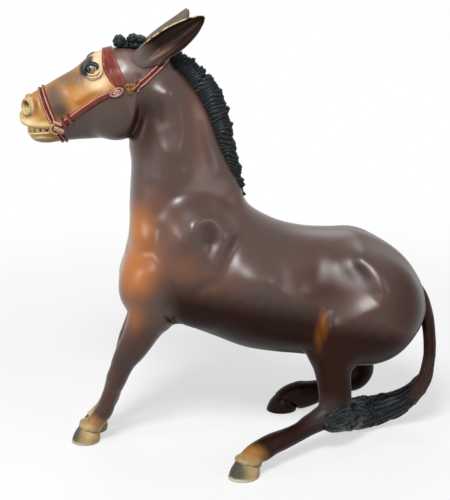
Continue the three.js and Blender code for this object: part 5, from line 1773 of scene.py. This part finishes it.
class MULE_OT_halter(BuildOperator, bpy.types.Operator):
    """Builds the halter's straps, rings and knots on the head"""

    bl_idname = "mule.halter"
    bl_label = "Halter"

    def build(self, sizes, paints):
        self.lattice, self.values = head_field(sizes)
        self.thickness = sizes.strap_thickness / MM
        # The halter: painted shade in its grooves, a painted highlight and chipped paint on its crests
        deep, rubbed_highlight = paints.halter_groove_shade, linear("f0cdbb")
        spread = (0.05, 0.75)
        leather = ridged_material("mule halter", deep, paints.halter, (0.28, 0.42), spread, 260, rubbed_highlight=rubbed_highlight)
        cord = ridged_material("mule knot", deep, paints.gold, (0.3, 0.42), (0.1, 0.7), 200)
        ring = ridged_material("mule ring", linear("94604c"), linear("ecc5a2"), (0.3, 0.42), (0.0, 0.6), 200)
        for name, (node, turn, folds) in BANDS.items():
            ridged_piece(name, [self.band(BAND_LINES[name], turn, folds)], "halter", node, leather)
        for word, side in SIDES:
            cheek = [self.side_sheet(CHEEK_LINE, 3.0, side, 120, 0), *self.keepers(side)]
            ridged_piece(f"{word}_cheek_band", cheek, "halter", f"{word}_cheek_strap", leather)
            ridged_piece(f"{word}_ring_loop", self.hoop(side), "fitting", f"{word}_halter_ring", ring)
            self.knot(word, side, leather, cord)

    def seat(self, ground, height, crest):
        """Gives points on the skin a strap's section: raised along the skin's slope, then back under."""
        slope = self.lattice.slope(self.values, ground)
        grid = np.concatenate([ground + slope * height[:, None], (ground - slope * 0.6)[:, ::-1]], axis=1)
        ridge = np.concatenate([crest, np.zeros_like(crest)])
        return grid, np.broadcast_to(ridge, grid.shape[:2])

    def section(self, folds, places):
        """Height and crest across a strap: round, flat with rolled edges, or with two folds."""
        edge = smooth_step(0, 0.24, 1 - np.abs(places))
        if folds == 0:
            crest = bell(places - 0.66, 0.2) + 0.35
            body = 0.75 + 0.35 * np.sqrt(1 - places**2)
        elif folds == 1:
            crest = 0.4 + 0.6 * bell(np.abs(places) - 0.82, 0.12) + 0.3 * bell(places + 0.15, 0.08)
            body = 0.55 + 0.5 * crest
        else:
            crest = 1.15 * bell(places - 0.5, 0.26) + 1.15 * bell(places + 0.5, 0.26)
            body = 0.35 + 0.75 * crest
        return self.thickness * edge * body - 0.25 * (1 - edge), crest * edge

    def band(self, line, turn, folds):
        """A band round the head that keeps to its line in the side view.

        Rays turn about a level inside the head and walk inwards until they meet the skin; at each
        step x is taken from the line at that height, with the place across the strap's width.
        """
        x_line, z_line, width_line = np.array(sorted(line, key=lambda row: row[1])).T.take([0, 1, 2], 0)
        slope_line = np.gradient(x_line, z_line)
        level = line[0][1] if turn else line[-1][1]
        angle = np.radians(np.linspace(turn - 90, turn + 90, 200))[:, None]
        places = np.linspace(-1, 1, 23)[None, :]
        reach = np.full((angle + places).shape, 24.0)
        for _ in range(70):
            z = level + reach * np.cos(angle)
            lean = np.sqrt(1 + np.interp(z, z_line, slope_line) ** 2)
            x = np.interp(z, z_line, x_line) + places * np.interp(z, z_line, width_line) / 2 * lean
            ground = np.stack([x, MID_Y + reach * np.sin(angle), z], -1)
            reach = reach - 0.8 * self.lattice.sample(self.values, ground)
        return self.seat(ground, *self.section(folds, places[0]))

    def side_sheet(self, path, width, side, count, folds, lift=0.0):
        """A band on one side of the head: its line in the side view, dropped along Y."""
        line = curve(path, even(count))
        ahead = unit(np.gradient(line, axis=0))
        across = np.stack([-ahead[:, 1], ahead[:, 0]], -1)
        places = np.linspace(-1, 1, 21)
        flat = line[:, None] + across[:, None] * (places * width / 2)[None, :, None]
        start = np.stack([flat[..., 0], np.full(flat.shape[:2], MID_Y + side * 19.0), flat[..., 1]], -1)
        direction = np.broadcast_to(np.array([0, -side, 0.0]), start.shape)
        height, crest = self.section(folds, places)
        return self.seat(self.lattice.drop(self.values, start, direction), height + lift, crest)

    def keepers(self, side):
        """Two short loops across the cheek strap near the ring."""
        return [
            self.side_sheet([(x + 1.15, z - 1.75), (x, z), (x - 1.15, z + 1.75)], 1.5, side, 30, 0, 0.45)
            for x, z in KEEPER_PLACES
        ]

    def loop(self, centre, slope, radii, wire, tilt=0.0):
        """A round wire along an oval that lies on the skin, closed on itself."""
        up = unit(np.array([math.sin(tilt), 0, math.cos(tilt)]) - slope * slope[2] * math.cos(tilt))
        across = np.cross(slope, up)
        angle = turns(96)[:, None]
        radial = across * np.cos(angle) * radii[0] + up * np.sin(angle) * radii[1]
        turn = turns(16)[None, :, None]
        wall = unit(radial)[:, None] * np.cos(turn) + slope * np.sin(turn)
        grid = (centre + radial)[:, None] + wall * wire
        return np.concatenate([grid, grid[:1]]), 0.6 + 0.4 * np.sin(turn[..., 0])

    def on_cheek(self, place, side):
        """The point of the skin at a place of the side view, and the skin's slope there."""
        return self.lattice.touch(self.values, (place[0], MID_Y + side * 19, place[1]), (0, -side, 0))

    def hoop(self, side):
        """The ring, with the ends of two straps folded round it."""
        place, slope = self.on_cheek(RING_PLACE, side)
        tabs = [self.side_sheet(line, width, side, 40, 0, 0.5) for line, width in RING_TABS]
        return [self.loop(place + slope * 0.45, slope, (2.15, 2.35), 0.45), *tabs]

    def knot(self, word, side, leather, cord):
        """A red oval pad with a raised rim, and beside it a gold rosette, a cord in a trefoil."""
        pad, slope = self.on_cheek(PAD_PLACE, side)
        rim = self.loop(pad + slope * 0.8, slope, (2.75, 1.4), 0.62, -0.44)
        cushion = self.loop(pad + slope * 0.75, slope, (1.3, 0.4), 0.85, -0.44)
        place, slope = self.on_cheek(ROSETTE_PLACE, side)
        rosette = self.trefoil(place + slope * 0.9, slope)
        parts = [rim, cushion, rosette]
        piece = ridged_piece(f"{word}_knot_braid", parts, "fitting", f"{word}_halter_knot", leather)
        piece.data.materials.append(cord)
        red = len(joined(parts[:2])[1])
        paint = np.ones(len(piece.data.polygons), np.int32)
        paint[:red] = 0
        piece.data.polygons.foreach_set("material_index", paint)

    def trefoil(self, centre, slope):
        """A cord along a trefoil: its radius swells three times a turn as it weaves over itself."""
        up = unit(UP - slope * slope[2])
        across = np.cross(slope, up)
        t = turns(240)[:, None]
        x = (np.sin(t) + 2 * np.sin(2 * t)) * 0.68
        y = (np.cos(t) - 2 * np.cos(2 * t)) * 0.68
        path = centre + across * x + up * y + slope * (-np.sin(3 * t) * 0.65)
        ahead = unit(np.roll(path, -1, 0) - np.roll(path, 1, 0))
        side = unit(np.cross(ahead, slope))
        over = np.cross(side, ahead)
        turn = turns(14)[None, :, None]
        grid = path[:, None] + (side[:, None] * np.cos(turn) + over[:, None] * np.sin(turn)) * 0.66
        lines = 0.55 + 0.45 * np.abs(np.sin(20 * t + turn[..., 0]))
        return np.concatenate([grid, grid[:1]]), np.vstack([lines, lines[:1]])


class MULE_OT_stage(BuildOperator, bpy.types.Operator):
    """Sets up the floor, the soft lights and the camera"""

    bl_idname = "mule.stage"
    bl_label = "Stage"

    def build(self, sizes, paints):
        scene = bpy.context.scene
        scene.view_settings.view_transform = "Standard"
        self.floor()
        self.world(scene)
        for name, row in LAMPS.items():
            self.lamp(name, *row)
        self.camera(scene)

    def floor(self):
        mesh = bpy.data.meshes.new("floor")
        corners = [(-6, -6, 0), (6, -6, 0), (6, 6, 0), (-6, 6, 0)]
        mesh.from_pydata(corners, [], [(0, 1, 2, 3)])
        painter = new_paint("pale floor", roughness=0.9)
        seen = self.seen(painter)
        far = painter.ramp(painter.vector("LENGTH", painter.place), 0.15, 0.45, FLOOR_GLOW)
        pale = painter.mix(far, (0.92, 0.92, 0.92), (0, 0, 0))
        surface = {
            "Base Color": painter.mix(seen, (0.35, 0.35, 0.35), pale),
            "Emission Color": (1, 1, 1),
            "Emission Strength": painter.maths("MULTIPLY", seen, far),
            "Specular IOR Level": 0,
        }
        for label, value in surface.items():
            painter.link(value, painter.shader.inputs[label])
        mesh.materials.append(painter.material)
        floor = bpy.data.objects.new("floor", mesh)
        bpy.context.scene.collection.objects.link(floor)

    def seen(self, painter):
        """1 for rays that show the background: camera, glossy and transmission rays."""
        path = painter.node("LightPath").outputs
        seen = painter.maths("MAXIMUM", path["Is Camera Ray"], path["Is Glossy Ray"])
        return painter.maths("MAXIMUM", seen, path["Is Transmission Ray"])

    def world(self, scene):
        """Soft white light from all round, and a plain light grey at full strength where the background
        shows.
        """
        world = bpy.data.worlds.new("soft light")
        world.use_nodes = True
        scene.world = world
        painter = Painter(world.node_tree, None)
        soft = painter.tree.nodes["Background"]
        painter.link((1, 1, 1), soft.inputs["Color"])
        painter.link(0.16, soft.inputs["Strength"])
        plain = painter.node("Background", {"Strength": 1.0})
        inputs = ((0, self.seen(painter)), (1, soft.outputs[0]), (2, plain.outputs[0]))
        blend = painter.node("MixShader", inputs)
        painter.link(blend.outputs[0], painter.tree.nodes["World Output"].inputs["Surface"])

    def lamp(self, name, place, size, power):
        light = bpy.data.lights.new(name, "AREA")
        light.shape = "DISK"
        light.size = size
        light.energy = power
        lamp = bpy.data.objects.new(name, light)
        lamp.location = place
        lamp.rotation_euler = self.facing(Vector(place), Vector(LAMP_TARGET))
        bpy.context.scene.collection.objects.link(lamp)

    def facing(self, place, target):
        return (target - place).to_track_quat("-Z", "Y").to_euler()

    def camera(self, scene):
        eye, target = Vector(CAMERA_PLACE) * MM, Vector(CAMERA_TARGET) * MM
        data = bpy.data.cameras.new("camera")
        data.sensor_width = 36
        data.lens = CAMERA_LENS
        data.clip_start, data.clip_end = 0.02, 50
        camera = bpy.data.objects.new("camera", data)
        camera.location = eye
        camera.rotation_euler = self.facing(eye, target)
        scene.collection.objects.link(camera)
        scene.camera = camera


BUILDERS = (
    MULE_OT_paints,
    MULE_OT_hide,
    MULE_OT_head,
    MULE_OT_hooves,
    MULE_OT_tail,
    MULE_OT_mane,
    MULE_OT_ears,
    MULE_OT_face,
    MULE_OT_halter,
    MULE_OT_stage,
)


class MULE_PT_panel(bpy.types.Panel):
    """The figure's pieces, sizes and paints in the sidebar"""

    bl_idname = "MULE_PT_panel"
    bl_label = "Seated mule"
    bl_space_type = "VIEW_3D"
    bl_region_type = "UI"
    bl_category = "Mule"

    def draw(self, context):
        for builder in BUILDERS:
            self.layout.operator(builder.bl_idname, text=builder.bl_label)
        for group in (context.scene.mule_sizes, context.scene.mule_paints):
            for name in group.__annotations__:
                self.layout.prop(group, name)


CLASSES = (MuleSizes, MulePaints, *BUILDERS, MULE_PT_panel)


def register():
    for item in CLASSES:
        bpy.utils.register_class(item)
    bpy.types.Scene.mule_sizes = bpy.props.PointerProperty(type=MuleSizes)
    bpy.types.Scene.mule_paints = bpy.props.PointerProperty(type=MulePaints)


def unregister():
    del bpy.types.Scene.mule_paints
    del bpy.types.Scene.mule_sizes
    for item in reversed(CLASSES):
        bpy.utils.unregister_class(item)


def main():
    register()
    for builder in BUILDERS:
        area, name = builder.bl_idname.split(".")
        getattr(getattr(bpy.ops, area), name)()


if __name__ == "__main__":
    main()
